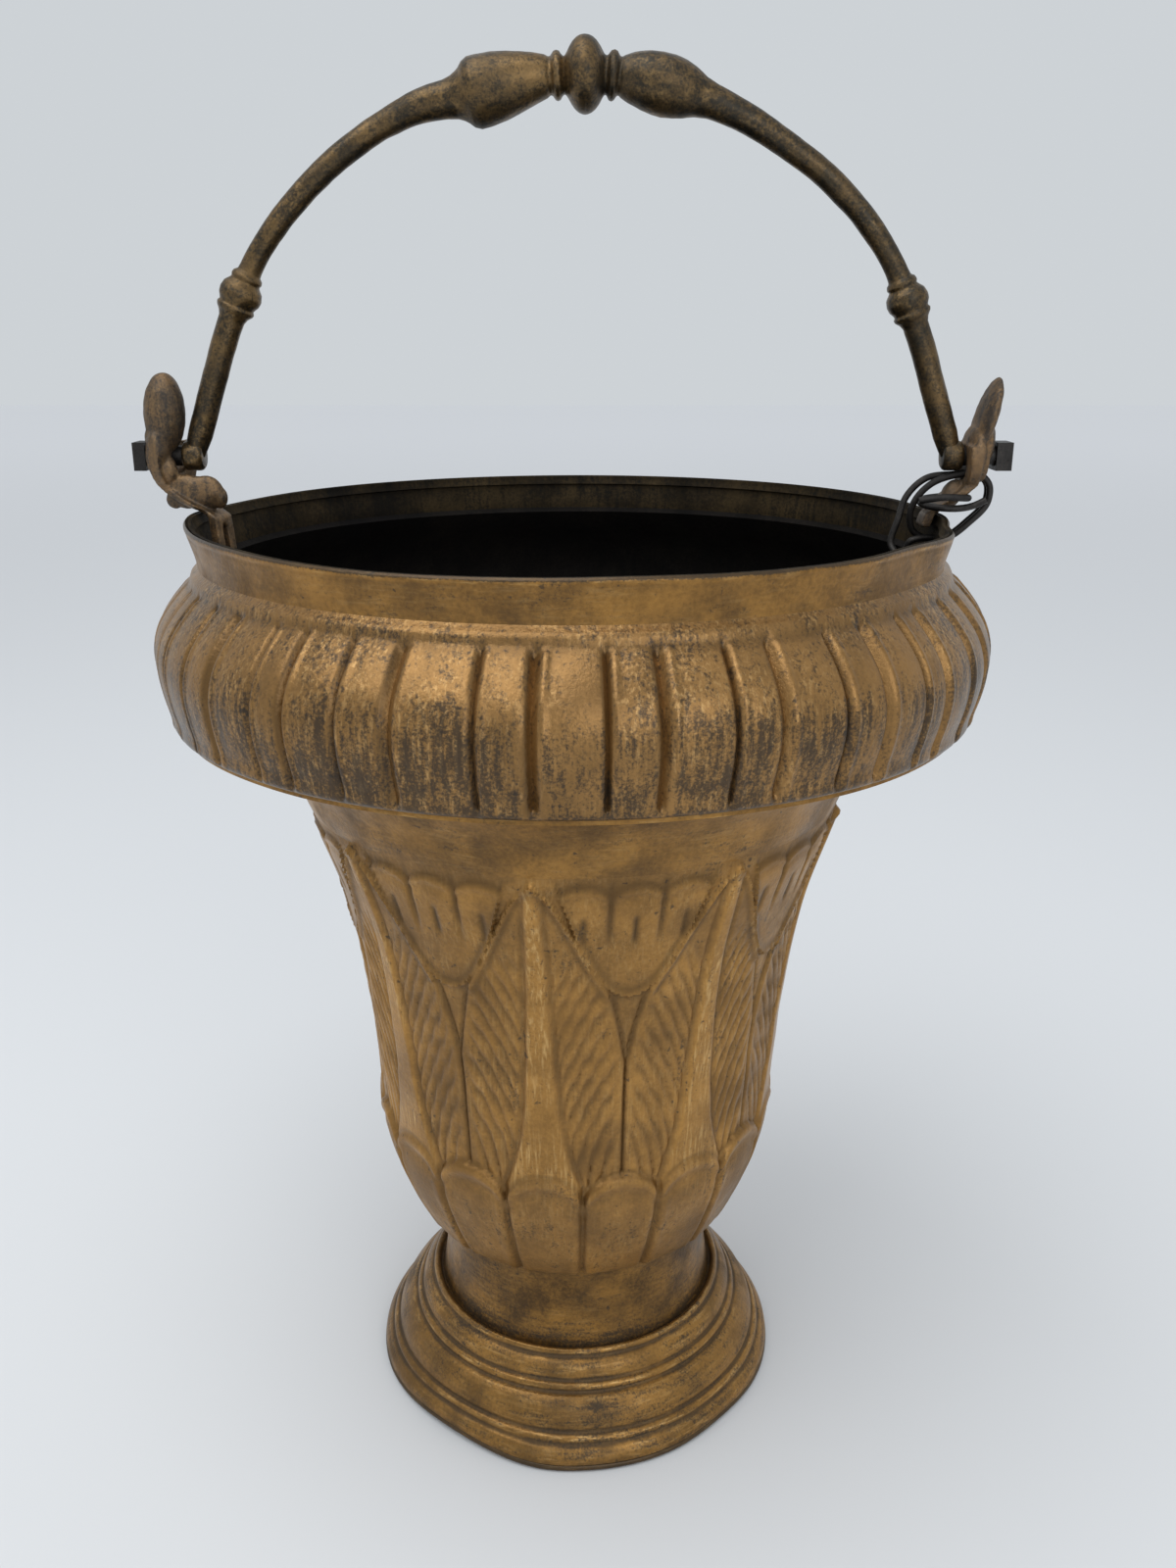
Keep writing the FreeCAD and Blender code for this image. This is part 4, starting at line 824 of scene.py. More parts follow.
@dataclass(frozen=True)
class HandWork:
    """The unevenness of a hand-made bucket, the same for all its turned pieces."""

    dents: tuple[Dent, ...] = (
        Dent(-38.0, 0.0, 22.0, 13.0, -2.0, 1.7),
        Dent(-10.0, 0.0, 11.0, 9.0, 0.5, -0.2),
        Dent(46.0, 0.0, 15.0, 11.0, -1.2, 0.4),
        Dent(-84.0, 293.0, 13.0, 7.0, 1.6, 1.0),
        Dent(-52.0, 292.0, 12.0, 8.0, -1.2),
        Dent(52.0, 292.0, 8.0, 8.0, -1.3, 0.3),
        Dent(66.0, 291.0, 6.0, 8.0, 1.0),
        Dent(78.0, 291.0, 6.0, 8.0, -1.5, -0.3),
        Dent(98.0, 291.0, 7.0, 8.0, -1.2),
        Dent(8.0, 292.5, 9.0, 6.0, 0.7, 0.35),
        Dent(-24.0, 292.5, 12.0, 6.0, -0.5, -0.3),
        Dent(-70.0, 252.0, 18.0, 14.0, -0.9),
        Dent(-46.0, 238.0, 10.0, 9.0, 0.8, 0.6),
        Dent(24.0, 244.0, 14.0, 10.0, -0.7),
        Dent(48.0, 160.0, 14.0, 26.0, -0.9),
        Dent(-60.0, 175.0, 16.0, 28.0, -0.7),
        Dent(150.0, 205.0, 24.0, 30.0, -1.0),
        Dent(-140.0, 255.0, 20.0, 14.0, -1.0),
    )
    waves: tuple[Wave, ...] = (Wave(2, 0.45, 0.7), Wave(3, 0.30, 2.1), Wave(5, 0.16, 4.0), Wave(7, 0.10, 1.2))
    strays: tuple[Wave, ...] = (Wave(4.0, 1.0, 0.6), Wave(9.0, 0.8, 2.0), Wave(13.0, 0.5, 4.4))
    wave_share: float = 0.8
    wave_lean: float = 90.0
    true_below: float = 12.0
    full_above: float = 90.0
    axis_radius: float = 2.0
    free_radius: float = 40.0

    def shape(self, mesh: bpy.types.Mesh, stretch: float, stretch_at: float, wander: float) -> None:
        """Move a turned mesh's points off the true circle.

        Args:
            mesh: The mesh to shape, in metres.
            stretch: How many degrees the ornament drifts round the axis.
            stretch_at: The angle where the ornament is widest.
            wander: How many degrees single panels stray from an even spacing.
        """
        across, deep, height = (read_points(mesh) / MM).T
        radius = np.hypot(across, deep)
        angle = np.degrees(np.arctan2(across, -deep))
        around = np.radians(angle)
        stray = sum(wave.at(around) for wave in self.strays)
        angle = angle + stretch * np.sin(np.radians(angle - stretch_at)) + wander * stray
        push = sum(wave.size * np.sin(np.radians(wave.folds * angle) + wave.phase + height / self.wave_lean)
                   for wave in self.waves)
        push = push * ease(height, self.true_below, self.full_above) * self.wave_share
        lift = np.zeros_like(height)
        for dent in self.dents:
            away = (angle - dent.angle + 180.0) % 360.0 - 180.0
            share = bump_at(away, dent.wide) * bump_at(height - dent.height, dent.tall)
            push = push + dent.push * share
            lift = lift + dent.lift * share
        pushed = radius + push * np.clip(radius / self.free_radius, 0.0, 1.0)
        radius = np.where(radius > self.axis_radius, pushed, radius)
        turned = np.radians(angle)
        move_points(mesh, np.column_stack([radius * np.sin(turned), -radius * np.cos(turned), height + lift]))


class Relief:
    """Raised work on a turned sheet."""

    def work(self, angle: np.ndarray, height: np.ndarray,
             radius: np.ndarray) -> tuple[np.ndarray, np.ndarray]:
        """The work at each point.

        Args:
            angle: Angle from the middle of a repeat.
            height: Height above the floor.
            radius: Radius of the plain sheet.

        Returns:
            The rise above the sheet in millimetres, and how dark the drawn lines and any painted shade lines
            are.
        """
        raise NotImplementedError

    def plain_rise(self, angle: np.ndarray, height: np.ndarray, radius: np.ndarray) -> np.ndarray:
        """The part of the rise that gets neither rubbed marks nor painted highlights."""
        return np.zeros_like(angle)


@dataclass(frozen=True)
class LeafAndPetalRelief(Relief):
    """The embossed work of the cup: upright leaves above a ring of petals."""

    leaf_edge: Pairs = ((104.0, 20.4), (146.0, 20.2), (156.0, 18.7), (168.0, 16.6), (171.0, 15.4),
                        (180.0, 11.5), (192.0, 7.5), (202.0, 4.0), (209.0, 0.2))
    rib_edge: Pairs = ((104.0, 9.6), (112.0, 7.4), (120.0, 5.6), (132.0, 4.3), (150.0, 3.4),
                       (172.0, 2.6), (192.0, 2.0), (209.0, 1.4))
    half_leaf: float = 20.0
    edge_slant: float = 0.86
    vee_bottom: float = 169.6
    vee_round: float = 0.16
    leaf_top: float = 208.6
    leaf_rise: float = 1.2
    rib_rise: float = 0.9
    rib_groove: float = 0.55
    rib_ink: float = 0.45
    rope_rise: float = 1.1
    rope_ink: float = 0.75
    vein_step: float = 7.4
    vein_climb: float = 2.4
    vein_rise: float = 0.85
    vein_ink: float = 0.62
    vein_fade: tuple[float, float] = (172.0, 190.0)
    edge_line: tuple[float, float] = (142.0, 150.0)
    middle_line: tuple[float, float] = (144.0, 150.0)
    line_depth: float = 0.75
    line_ink: float = 0.6
    lobe_angle: float = 10.2
    lobe_low: float = 202.4
    lobe_arch: float = 4.6
    lobe_rise: float = 1.2
    lobe_parting: tuple[float, float] = (184.0, 196.0)
    crease_start: tuple[float, float] = (187.0, 189.5)
    crease_end: tuple[float, float] = (196.0, 198.5)
    petal_angle: float = 20.0
    petal_low: float = 98.2
    petal_arch: float = 9.4
    petal_rise: float = 2.1
    petal_foot: tuple[float, float] = (61.6, 66.5)

    def work(self, angle: np.ndarray, height: np.ndarray,
             radius: np.ndarray) -> tuple[np.ndarray, np.ndarray]:
        """Lay the petals over the feet of the leaves.

        Args:
            angle: Angle from the middle of a leaf.
            height: Height above the floor.
            radius: Radius of the plain sheet.

        Returns:
            The rise in millimetres, and how dark the drawn lines are.
        """
        degree = DEGREE * radius
        leaf, leaf_ink = self.leaf(angle, height, degree)
        petal, cover, petal_ink = self.petal(angle, height, degree)
        return leaf * (1.0 - cover) + petal, np.maximum(leaf_ink * (1.0 - cover), petal_ink)

    def plain_rise(self, angle: np.ndarray, height: np.ndarray, radius: np.ndarray) -> np.ndarray:
        """The flat of a petal gets neither rubbed marks nor painted highlights."""
        cover = self.petal(angle, height, DEGREE * radius)[1]
        return 0.8 * self.petal_rise * cover

    def leaf(self, angle: np.ndarray, height: np.ndarray,
             degree: np.ndarray) -> tuple[np.ndarray, np.ndarray]:
        """One leaf, and the lobed leaf tips behind it.

        Args:
            angle: Angle from the middle of the leaf.
            height: Height above the floor.
            degree: Length of a degree on the sheet.

        Returns:
            The rise in millimetres, and how dark the drawn lines are.
        """
        away = np.abs(angle)
        edge = (np.interp(height, *np.transpose(self.leaf_edge)) - away) * degree * self.edge_slant
        rib = (np.interp(height, *np.transpose(self.rib_edge)) - away) * degree
        out = np.maximum(-rib, 0.0)
        band = 1.0 - ease(height, self.leaf_top - 0.8, self.leaf_top + 0.9)
        inside = ease(edge, -0.5, 0.9)

        # Veins rise from the midrib towards the edge of the leaf
        blade = ease(out, 0.4, 2.0) * ease(edge, 1.4, 3.6) * (1.0 - ease(height, *self.vein_fade))
        climb = height - self.vein_climb * out + 0.03 * out * out
        sway = 0.5 * np.sin(angle * 1.7 + height * 0.13)
        wave = 0.5 + 0.5 * np.cos(2.0 * np.pi * climb / self.vein_step + sway)
        veins = self.vein_rise * blade * (np.sqrt(wave) - 0.62)
        patchy = 0.5 + 0.5 * np.sin(angle * 0.9 + height * 0.21) * np.sin(height * 0.37 - angle * 0.5)
        vein_ink = self.vein_ink * blade * (0.3 + 0.7 * patchy) * ease(1.0 - wave, 0.78, 0.99)
        rib_rise = self.rib_rise * ease(rib, -0.2, 1.4) - self.rib_groove * bump_at(rib + 0.6, 0.7)
        rib_ink = self.rib_ink * bump_at(rib + 0.5, 0.55)
        share = np.clip(out / np.maximum(out + edge, 0.1), 0.0, 1.0)
        hollow = 0.5 * np.sin(np.pi * share) * ease(out, 0.0, 3.0)

        # The corded edge of the leaf runs on round the foot of the gap
        gap = self.half_leaf - away
        foot = (height - self.vee_bottom - self.vee_round * gap * gap) * 0.9
        above = ease(foot, -0.4, 0.6)
        below = np.hypot(np.minimum(edge, 0.0), foot)
        cord = np.where(foot > 0.0, np.minimum(np.abs(edge), np.abs(foot)), below)
        cord = np.where((edge > 0.0) & (height > self.vee_bottom), np.abs(edge), cord)
        on_cord = ease(height, self.vee_bottom - 1.6, self.vee_bottom + 0.8)
        level = bump_at(gap * degree, 5.0)
        rope = self.rope_rise * (1.0 - 0.35 * level) * bump_at(cord, 0.95 + 0.5 * level) * on_cord
        beside = np.abs(cord) - 1.6 - 0.7 * level
        rope_ink = self.rope_ink * bump_at(beside, 0.66 + 0.4 * level) * on_cord

        # Lower down, neighbouring leaves are parted by plain lines
        lines = bump_at(edge, 0.55) * (1.0 - on_cord)
        middle = bump_at(gap * degree, 0.6) * (1.0 - ease(height, *self.middle_line))
        lines = np.maximum(lines * ease(height, *self.edge_line), middle)
        rise = self.leaf_rise * inside + (rib_rise + veins - 0.4 * hollow) * inside
        rise = rise + rope - self.line_depth * lines + 0.5 * (1.0 - inside) * (1.0 - above)
        lobe, lobe_ink = self.lobes(gap, height, degree)
        open_gap = above * (1.0 - inside)
        ink = np.maximum.reduce([vein_ink * inside, rib_ink * inside, rope_ink, self.line_ink * lines,
                                 lobe_ink * open_gap])
        return (rise + lobe * open_gap) * band, ink * band

    def lobes(self, gap: np.ndarray, height: np.ndarray,
              degree: np.ndarray) -> tuple[np.ndarray, np.ndarray]:
        """The scalloped leaf tips that fill the gaps.

        Args:
            gap: Angle from the middle of the gap.
            height: Height above the floor.
            degree: Length of a degree on the sheet.

        Returns:
            The rise in millimetres, and how dark the drawn lines are.
        """
        half = self.lobe_angle / 2.0
        phase = np.abs(np.mod(gap + half, self.lobe_angle) - half) / half
        top = self.lobe_low + self.lobe_arch * np.sqrt(np.clip(1.0 - phase * phase, 0.0, 1.0))
        drop = top - height
        raised = ease(drop, -0.4, 1.0)
        side = (1.0 - phase) * half * degree
        parting = bump_at(side, 0.7) * ease(height, *self.lobe_parting)
        crease = bump_at(phase * half * degree, 0.8) * ease(height, *self.crease_start)
        crease = crease * (1.0 - ease(height, *self.crease_end))
        rise = raised * (self.lobe_rise - 0.9 * parting - 0.5 * crease - 0.35 * bump_at(drop - 3.0, 1.4))
        return rise, np.maximum.reduce([0.9 * bump_at(drop + 0.3, 0.7), 0.85 * parting, crease])

    def petal(self, angle: np.ndarray, height: np.ndarray,
              degree: np.ndarray) -> tuple[np.ndarray, np.ndarray, np.ndarray]:
        """The petals.

        Args:
            angle: Angle from the middle of a petal.
            height: Height above the floor.
            degree: Length of a degree on the sheet.

        Returns:
            The rise in millimetres, where petals cover the leaves, and how dark the drawn lines are.
        """
        half = self.petal_angle / 2.0
        away = np.abs(np.mod(angle + half, self.petal_angle) - half)
        arch = np.sqrt(np.clip(1.0 - (away / (half - 0.3)) ** 2, 0.0, 1.0))
        drop = (self.petal_low + self.petal_arch * arch - height) * 0.9
        cover = ease(drop, -0.3, 0.9)
        side = (half - away) * degree
        body = 0.5 + 0.5 * ease(side, 0.05, 1.7)
        lip = 0.8 * bump_at(drop - 2.2, 1.9) - 0.3 * bump_at(drop - 5.6, 1.6)
        rail = 0.3 * bump_at(side - 2.4, 1.3) * ease(drop, 2.0, 6.0)
        foot = 0.35 + 0.65 * ease(height, *self.petal_foot)
        rise = self.petal_rise * body * foot + (lip + rail) * body - 0.4 * bump_at(side, 0.6)
        ink = np.maximum(0.42 * bump_at(side, 0.5) * cover, 0.65 * bump_at(drop + 0.5, 0.6))
        return cover * rise, cover, ink * ease(height, 62.0, 64.0)


@dataclass(frozen=True)
class GadroonRelief(Relief):
    """The shoulder's upright panels: a wide and a narrow one to each repeat, parted by creases."""

    half: float = 7.2
    deep: float = 1.6
    deep_width: float = 1.0
    thin_at: float = 1.1
    thin: float = 1.3
    thin_width: float = 0.65
    crown: float = 0.4
    # Darkness of the painted shade line beside each crease.
    line_ink: float = 0.9
    bottom: float = 239.6
    top: float = 279.0
    lip_rise: float = 0.75

    def work(self, angle: np.ndarray, height: np.ndarray,
             radius: np.ndarray) -> tuple[np.ndarray, np.ndarray]:
        """Sink the creases below the plain shoulder, with a fine dark line of painted shade on one side of
        each and a painted shadow line under the lip.

        Args:
            angle: Angle from the middle of a repeat.
            height: Height above the floor.
            radius: Radius of the plain sheet.

        Returns:
            The rise in millimetres, and how dark the painted shade lines are.
        """
        degree = DEGREE * radius
        ends = ease(height, self.bottom - 0.5, self.bottom + 2.5)
        ends = ends * (1.0 - ease(height, self.top - 2.6, self.top))
        side = np.where(angle > 0.0, self.half - angle, -self.half - angle) * degree
        fine = (angle - self.thin_at) * degree
        crease = self.deep * bump_at(side, self.deep_width) + self.thin * bump_at(fine, self.thin_width)
        wide = np.clip((angle + self.half) / (self.half + self.thin_at), 0.0, 1.0)
        slim = np.clip((angle - self.thin_at) / (self.half - self.thin_at), 0.0, 1.0)
        share = np.where(angle < self.thin_at, wide, slim)
        hollow = self.crown * np.square(2.0 * share - 1.0)
        lip = self.lip_rise * bump_at(height - self.top - 1.0, 1.3)
        ridge = 0.5 * bump_at(side + 2.6, 0.9) + 0.4 * bump_at(fine - 2.0, 0.8)
        # Painted shade: a dark line on one side of each crease, where its raised edge would throw shade.
        ink = np.maximum(self.line_ink * bump_at(side - 1.1, 0.6), self.line_ink * bump_at(fine + 0.2, 0.55))
        # Painted shadow: a dark line just under the lip bead, where the sheet also sinks a little.
        seam = 0.5 * bump_at(height - self.top + 1.0, 0.9)
        return lip - 0.5 * seam - (crease + hollow - ridge) * ends, np.maximum(ink * ends, seam)


def shoulder_wear(angle: np.ndarray, height: np.ndarray) -> np.ndarray:
    """Paint has gone from the full of the panels, most of all low down, and stays in the creases.

    Args:
        angle: Angle from the middle of a repeat.
        height: Height above the floor.

    Returns:
        The wear that is added to the finish's own.
    """
    side = GadroonRelief.half - np.abs(angle)
    low = 0.20 * bump_at(height - 246.0, 9.0) + 0.10 * bump_at(height - 260.0, 9.0)
    hem = 0.14 * bump_at(height - GadroonRelief.bottom, 1.6)
    return low * ease(side, 0.3, 2.2) + hem - 0.10 * bump_at(height - 267.0, 4.0)


def petal_painted_shade(angle: np.ndarray, height: np.ndarray) -> np.ndarray:
    """Painted shade: the petals are a little darker than the leaves, most of all below about 100 mm."""
    return 0.06 * (1.0 - ease(height, 92.0, 106.0))


def neck_painted_shade(angle: np.ndarray, height: np.ndarray) -> np.ndarray:
    """Painted shade: the foot of the neck is darkened where it meets the foot's shelf, and so is its top
    under the petals.
    """
    return 0.30 * bump_at(height - 31.0, 5.0) + 0.10 * bump_at(height - 62.0, 5.0)


def foot_edge_wear(angle: np.ndarray, height: np.ndarray) -> np.ndarray:
    """The edge that the bucket stands on is worn all over."""
    return np.full_like(angle, 0.5)


def lip_wear(angle: np.ndarray, height: np.ndarray) -> np.ndarray:
    """Only the upper edge of the mouth is worn."""
    return 0.9 * ease(height, MOUTH_TOP - 1.2, MOUTH_TOP - 0.1)


@dataclass
class TurnedSheet:
    """A piece of sheet turned about the bucket's axis, with its ornament in one repeated sector.

    The outline runs along the outer face as (radius, height), with the metal on its left.
    """

    name: str
    node: str
    outline: Pairs
    sheet: float
    sectors: int
    columns: int
    rows: int
    inner_rows: int
    outside: Finish
    inside: Finish
    closed_bottom: bool = False
    dark_ends: bool = False
    wander: float = 0.0
    turn: float = 0.0
    stretch: float = 0.0
    stretch_at: float = 0.0
    relief: Relief | None = None
    relief_range: tuple[float, float] = (0.0, 1.0)
    wear: Wear | None = None

    def section(self) -> tuple[np.ndarray, np.ndarray, np.ndarray, np.ndarray]:
        """The closed section of the sheet.

        Returns:
            Points, outward directions, a share that is 1 on the outer face, and the inside flags.
        """
        outer = smooth_line(self.outline, self.rows)
        along = np.gradient(outer, axis=0)
        along /= np.linalg.norm(along, axis=1)[:, None]
        out = np.column_stack([along[:, 1], -along[:, 0]])
        pick = np.linspace(0, self.rows - 1, self.inner_rows).round().astype(int)[::-1]
        inner = outer[pick] - out[pick] * self.sheet
        points = np.vstack([outer, inner])
        ways = np.vstack([out, -out[pick]])
        face = np.concatenate([np.ones(self.rows), np.zeros(self.inner_rows)])
        inside = 1.0 - face
        if self.closed_bottom:
            points = np.vstack([[[0.0, outer[0, 1]]], points, [[0.0, inner[-1, 1]]]])
            ways = np.vstack([[[0.0, -1.0]], ways, [[0.0, 1.0]]])
            face = np.concatenate([[0.0], face, [0.0]])
            inside = np.concatenate([[0.0], inside, [1.0]])
        return points, ways, face, inside

    def bend(self, points: np.ndarray, face: np.ndarray) -> np.ndarray:
        """How far each point of the section stands out or lies in a groove.

        Args:
            points: The section's points.
            face: A share that is 1 on the outer face.

        Returns:
            About 0.55 on plain sheet, 1 on a sharp ridge and 0 in a groove.
        """
        along = np.gradient(points, axis=0)
        length = np.maximum(np.linalg.norm(along, axis=1), 1e-6)
        turn = np.unwrap(np.arctan2(along[:, 1], along[:, 0]))
        curve = np.gradient(turn) / length
        soft = np.convolve(np.pad(curve, 2, mode="edge"), np.ones(5) / 5.0, mode="valid")
        return 0.55 + 0.45 * np.tanh(2.2 * soft) * face

    def mesh(self) -> bpy.types.Mesh:
        """One sector of the sheet as a mesh, with its relief.

        Returns:
            The sector's mesh, in metres.
        """
        points, ways, face, inside = self.section()
        half = 180.0 / self.sectors
        angle, plain_radius = np.meshgrid(np.linspace(-half, half, self.columns + 1), points[:, 0])
        plain_height = np.repeat(points[:, 1:], self.columns + 1, axis=1)
        depth = np.zeros_like(angle)
        ink = np.zeros_like(angle)
        if self.relief is not None:
            depth, ink = self.relief.work(angle, plain_height, plain_radius)
            ink = blurred(ink)
            depth = depth * face[:, None]
        radius = plain_radius + ways[:, :1] * depth
        height = plain_height + ways[:, 1:] * depth
        turned = np.radians(angle + self.turn)
        places = np.stack([radius * np.sin(turned), -radius * np.cos(turned), height], axis=-1) * MM
        index = np.arange(angle.size).reshape(angle.shape)
        if not self.closed_bottom:
            index = np.vstack([index, index[:1]])
            inside = np.append(inside, inside[0])
        quads = np.stack([index[:-1, :-1], index[:-1, 1:], index[1:, 1:], index[1:, :-1]], axis=-1)
        made = bpy.data.meshes.new(f"{self.name}_sector")
        made.from_pydata(places.reshape(-1, 3).tolist(), [], quads.reshape(-1, 4).tolist())

        # What the finishes read: raised work, which also places painted highlights; drawn lines, with the
        # shoulder's painted shade lines; wear, with painted shade on the neck and the petals; and the side of
        # the sheet
        if self.relief is None:
            shown = np.repeat(self.bend(points, face)[:, None], self.columns + 1, axis=1)
        else:
            low, high = self.relief_range
            plain = self.relief.plain_rise(angle, height, radius)
            shown = np.clip((depth - plain - low) / (high - low), 0.0, 1.0)
        rubbed = np.zeros_like(angle)
        if self.wear is not None:
            rubbed = self.wear(angle, plain_height)
        lined = (inside[:-1] + inside[1:]) > 1.5
        lined[[self.rows - 1, -1]] |= self.dark_ends
        store(made, "relief", shown)
        store(made, "ink", np.clip(ink, 0.0, 1.0))
        store(made, "rubbed", rubbed)
        store(made, "inside", np.repeat(lined[:, None], self.columns, axis=1), "BOOLEAN", "FACE")
        return made

    def build(self) -> None:
        """Make, shape and dress the whole piece."""
        piece = RingRepeat().apply(self.mesh(), self.name, self.sectors, self.outside, self.inside)
        HandWork().shape(piece.data, self.stretch, self.stretch_at, self.wander)
        dress(piece, BodyName.VESSEL, [self.node])


@dataclass
class Vessel:
    """The bucket itself: foot, neck, cup, shoulder and mouth."""

    sheet: float = 1.2
    hem_sheet: float = 0.9
    shoulder_depth: float = 3.8
    foot_edge: Pairs = ((66.0, 0.0), (67.6, 0.0), (68.6, 0.6), (68.9, 1.4), (68.5, 2.3), (67.6, 2.6),
                        (66.0, 2.6))
    foot: Pairs = ((68.7, 2.9), (68.4, 4.4), (67.0, 6.8), (65.5, 8.4), (65.3, 9.4), (64.6, 10.2),
                   (63.4, 10.9), (63.1, 12.4), (62.4, 14.6), (60.6, 17.6), (58.2, 20.0), (56.6, 20.9),
                   (56.5, 21.9), (55.9, 22.8), (54.7, 23.5), (54.4, 24.9), (53.5, 27.0), (51.9, 28.8),
                   (50.7, 29.7), (50.4, 31.0), (49.7, 31.7), (48.8, 31.4), (47.9, 30.4), (45.6, 30.0))
    neck: Pairs = ((47.4, 30.2), (46.9, 31.6), (46.3, 34.4), (45.7, 39.0), (45.3, 46.0), (45.2, 52.0),
                   (45.6, 58.0), (46.6, 62.6))
    bowl: Pairs = ((43.0, 62.0), (48.4, 62.2), (50.6, 63.6), (52.8, 67.2), (55.6, 73.0), (59.0, 81.5),
                   (61.9, 90.0), (63.2, 96.0), (63.7, 102.0), (63.9, 109.0))
    leaves: Pairs = ((63.9, 109.0), (64.5, 118.0), (65.3, 127.0), (65.9, 136.0), (67.0, 145.0), (69.4, 163.0),
                     (72.9, 181.0), (78.4, 199.0), (81.4, 208.0), (82.2, 210.0))
    flare: Pairs = ((82.2, 210.0), (83.4, 213.0), (85.8, 220.0), (89.8, 227.0), (94.6, 232.0), (101.6, 235.6),
                    (108.6, 237.1), (116.6, 237.6))
    shoulder: Pairs = ((107.0, 238.6), (116.4, 238.6), (118.8, 239.8), (119.9, 244.0), (121.3, 249.0),
                       (122.2, 254.0), (122.4, 258.0), (121.6, 262.7), (119.9, 267.0), (116.7, 271.7),
                       (112.9, 276.0), (109.3, 280.0), (107.8, 282.4))
    collar: Pairs = ((107.9, 281.4), (107.9, 282.8), (108.1, 284.6), (108.7, 287.6), (109.5, 291.0),
                     (109.8, 292.6), (109.3, 293.2))
    hem: Pairs = ((107.8, 290.0), (108.4, 291.6), (108.6, 293.0))
    plain_sectors: int = 12
    leaf_count: int = 9
    leaf_turn: float = -7.0
    leaf_stretch: float = 2.2
    leaf_stretch_at: float = 14.5
    cup_relief_range: tuple[float, float] = (-0.6, 2.6)
    gadroon_count: int = 25
    gadroon_turn: float = 2.6
    gadroon_wander: float = 0.75
    gadroon_relief_range: tuple[float, float] = (-1.8, 0.2)

    def foot_pieces(self) -> list[TurnedSheet]:
        """The rolled edge, the stepped foot and the neck.

        Returns:
            The pieces, ready to build.
        """
        return [
            TurnedSheet("foot_rolled_edge", "foot_edge", self.foot_edge, sheet=0.0,
                        sectors=self.plain_sectors, columns=30, rows=16, inner_rows=2, outside=FOOT_GILT,
                        inside=FOOT_GILT, wear=foot_edge_wear),
            TurnedSheet("stepped_foot", "foot_base", self.foot, sheet=self.sheet, sectors=self.plain_sectors,
                        columns=40, rows=150, inner_rows=30, outside=FOOT_GILT, inside=INSIDE_SHADE),
            TurnedSheet("plain_neck", "foot_spool", self.neck, sheet=self.sheet, sectors=self.plain_sectors,
                        columns=40, rows=40, inner_rows=8, outside=NECK_SHADED_GILT, inside=INSIDE_SHADE, wear=neck_painted_shade),
        ]

    def cup_pieces(self) -> list[TurnedSheet]:
        """The petal bowl, the leaf band and the flare, which are one sheet.

        Returns:
            The pieces, ready to build.
        """
        cup = {"node": "cup", "sheet": self.sheet, "sectors": self.leaf_count, "inside": INSIDE_SHADE,
               "turn": self.leaf_turn, "stretch": self.leaf_stretch, "stretch_at": self.leaf_stretch_at}
        worked = {"columns": 90, "outside": GILT, "relief": LeafAndPetalRelief(),
                  "relief_range": self.cup_relief_range}
        return [
            TurnedSheet("petal_bowl", outline=self.bowl, rows=84, inner_rows=14, closed_bottom=True,
                        wear=petal_painted_shade, **worked, **cup),
            TurnedSheet("leaf_band", outline=self.leaves, rows=104, inner_rows=12, **worked, **cup),
            TurnedSheet("smooth_flare", outline=self.flare, columns=40, rows=50, inner_rows=14,
                        outside=COLLAR_LIT_GILT, **cup),
        ]

    def mouth_pieces(self) -> list[TurnedSheet]:
        """The gadrooned shoulder, the collar and the hem inside it.

        Returns:
            The pieces, ready to build.
        """
        return [
            TurnedSheet("gadrooned_shoulder", "shoulder", self.shoulder, sheet=self.shoulder_depth,
                        sectors=self.gadroon_count, columns=50, rows=64, inner_rows=12, outside=SHOULDER_GILT,
                        inside=INSIDE_SHADE, turn=self.gadroon_turn, dark_ends=True, wander=self.gadroon_wander,
                        relief=GadroonRelief(), relief_range=self.gadroon_relief_range, wear=shoulder_wear),
            TurnedSheet("mouth_collar", "collar", self.collar, sheet=self.sheet, sectors=self.plain_sectors,
                        columns=60, rows=40, inner_rows=12, outside=COLLAR_LIT_GILT, inside=INNER_COLLAR,
                        dark_ends=True, wear=lip_wear),
            TurnedSheet("mouth_hem", "mouth_band", self.hem, sheet=self.hem_sheet, sectors=self.plain_sectors,
                        columns=30, rows=10, inner_rows=6, outside=INNER_COLLAR, inside=INNER_COLLAR,
                        wear=lip_wear),
        ]

    def build(self) -> None:
        """Build and dress every turned piece from the floor up."""
        for piece in self.foot_pieces() + self.cup_pieces() + self.mouth_pieces():
            piece.build()


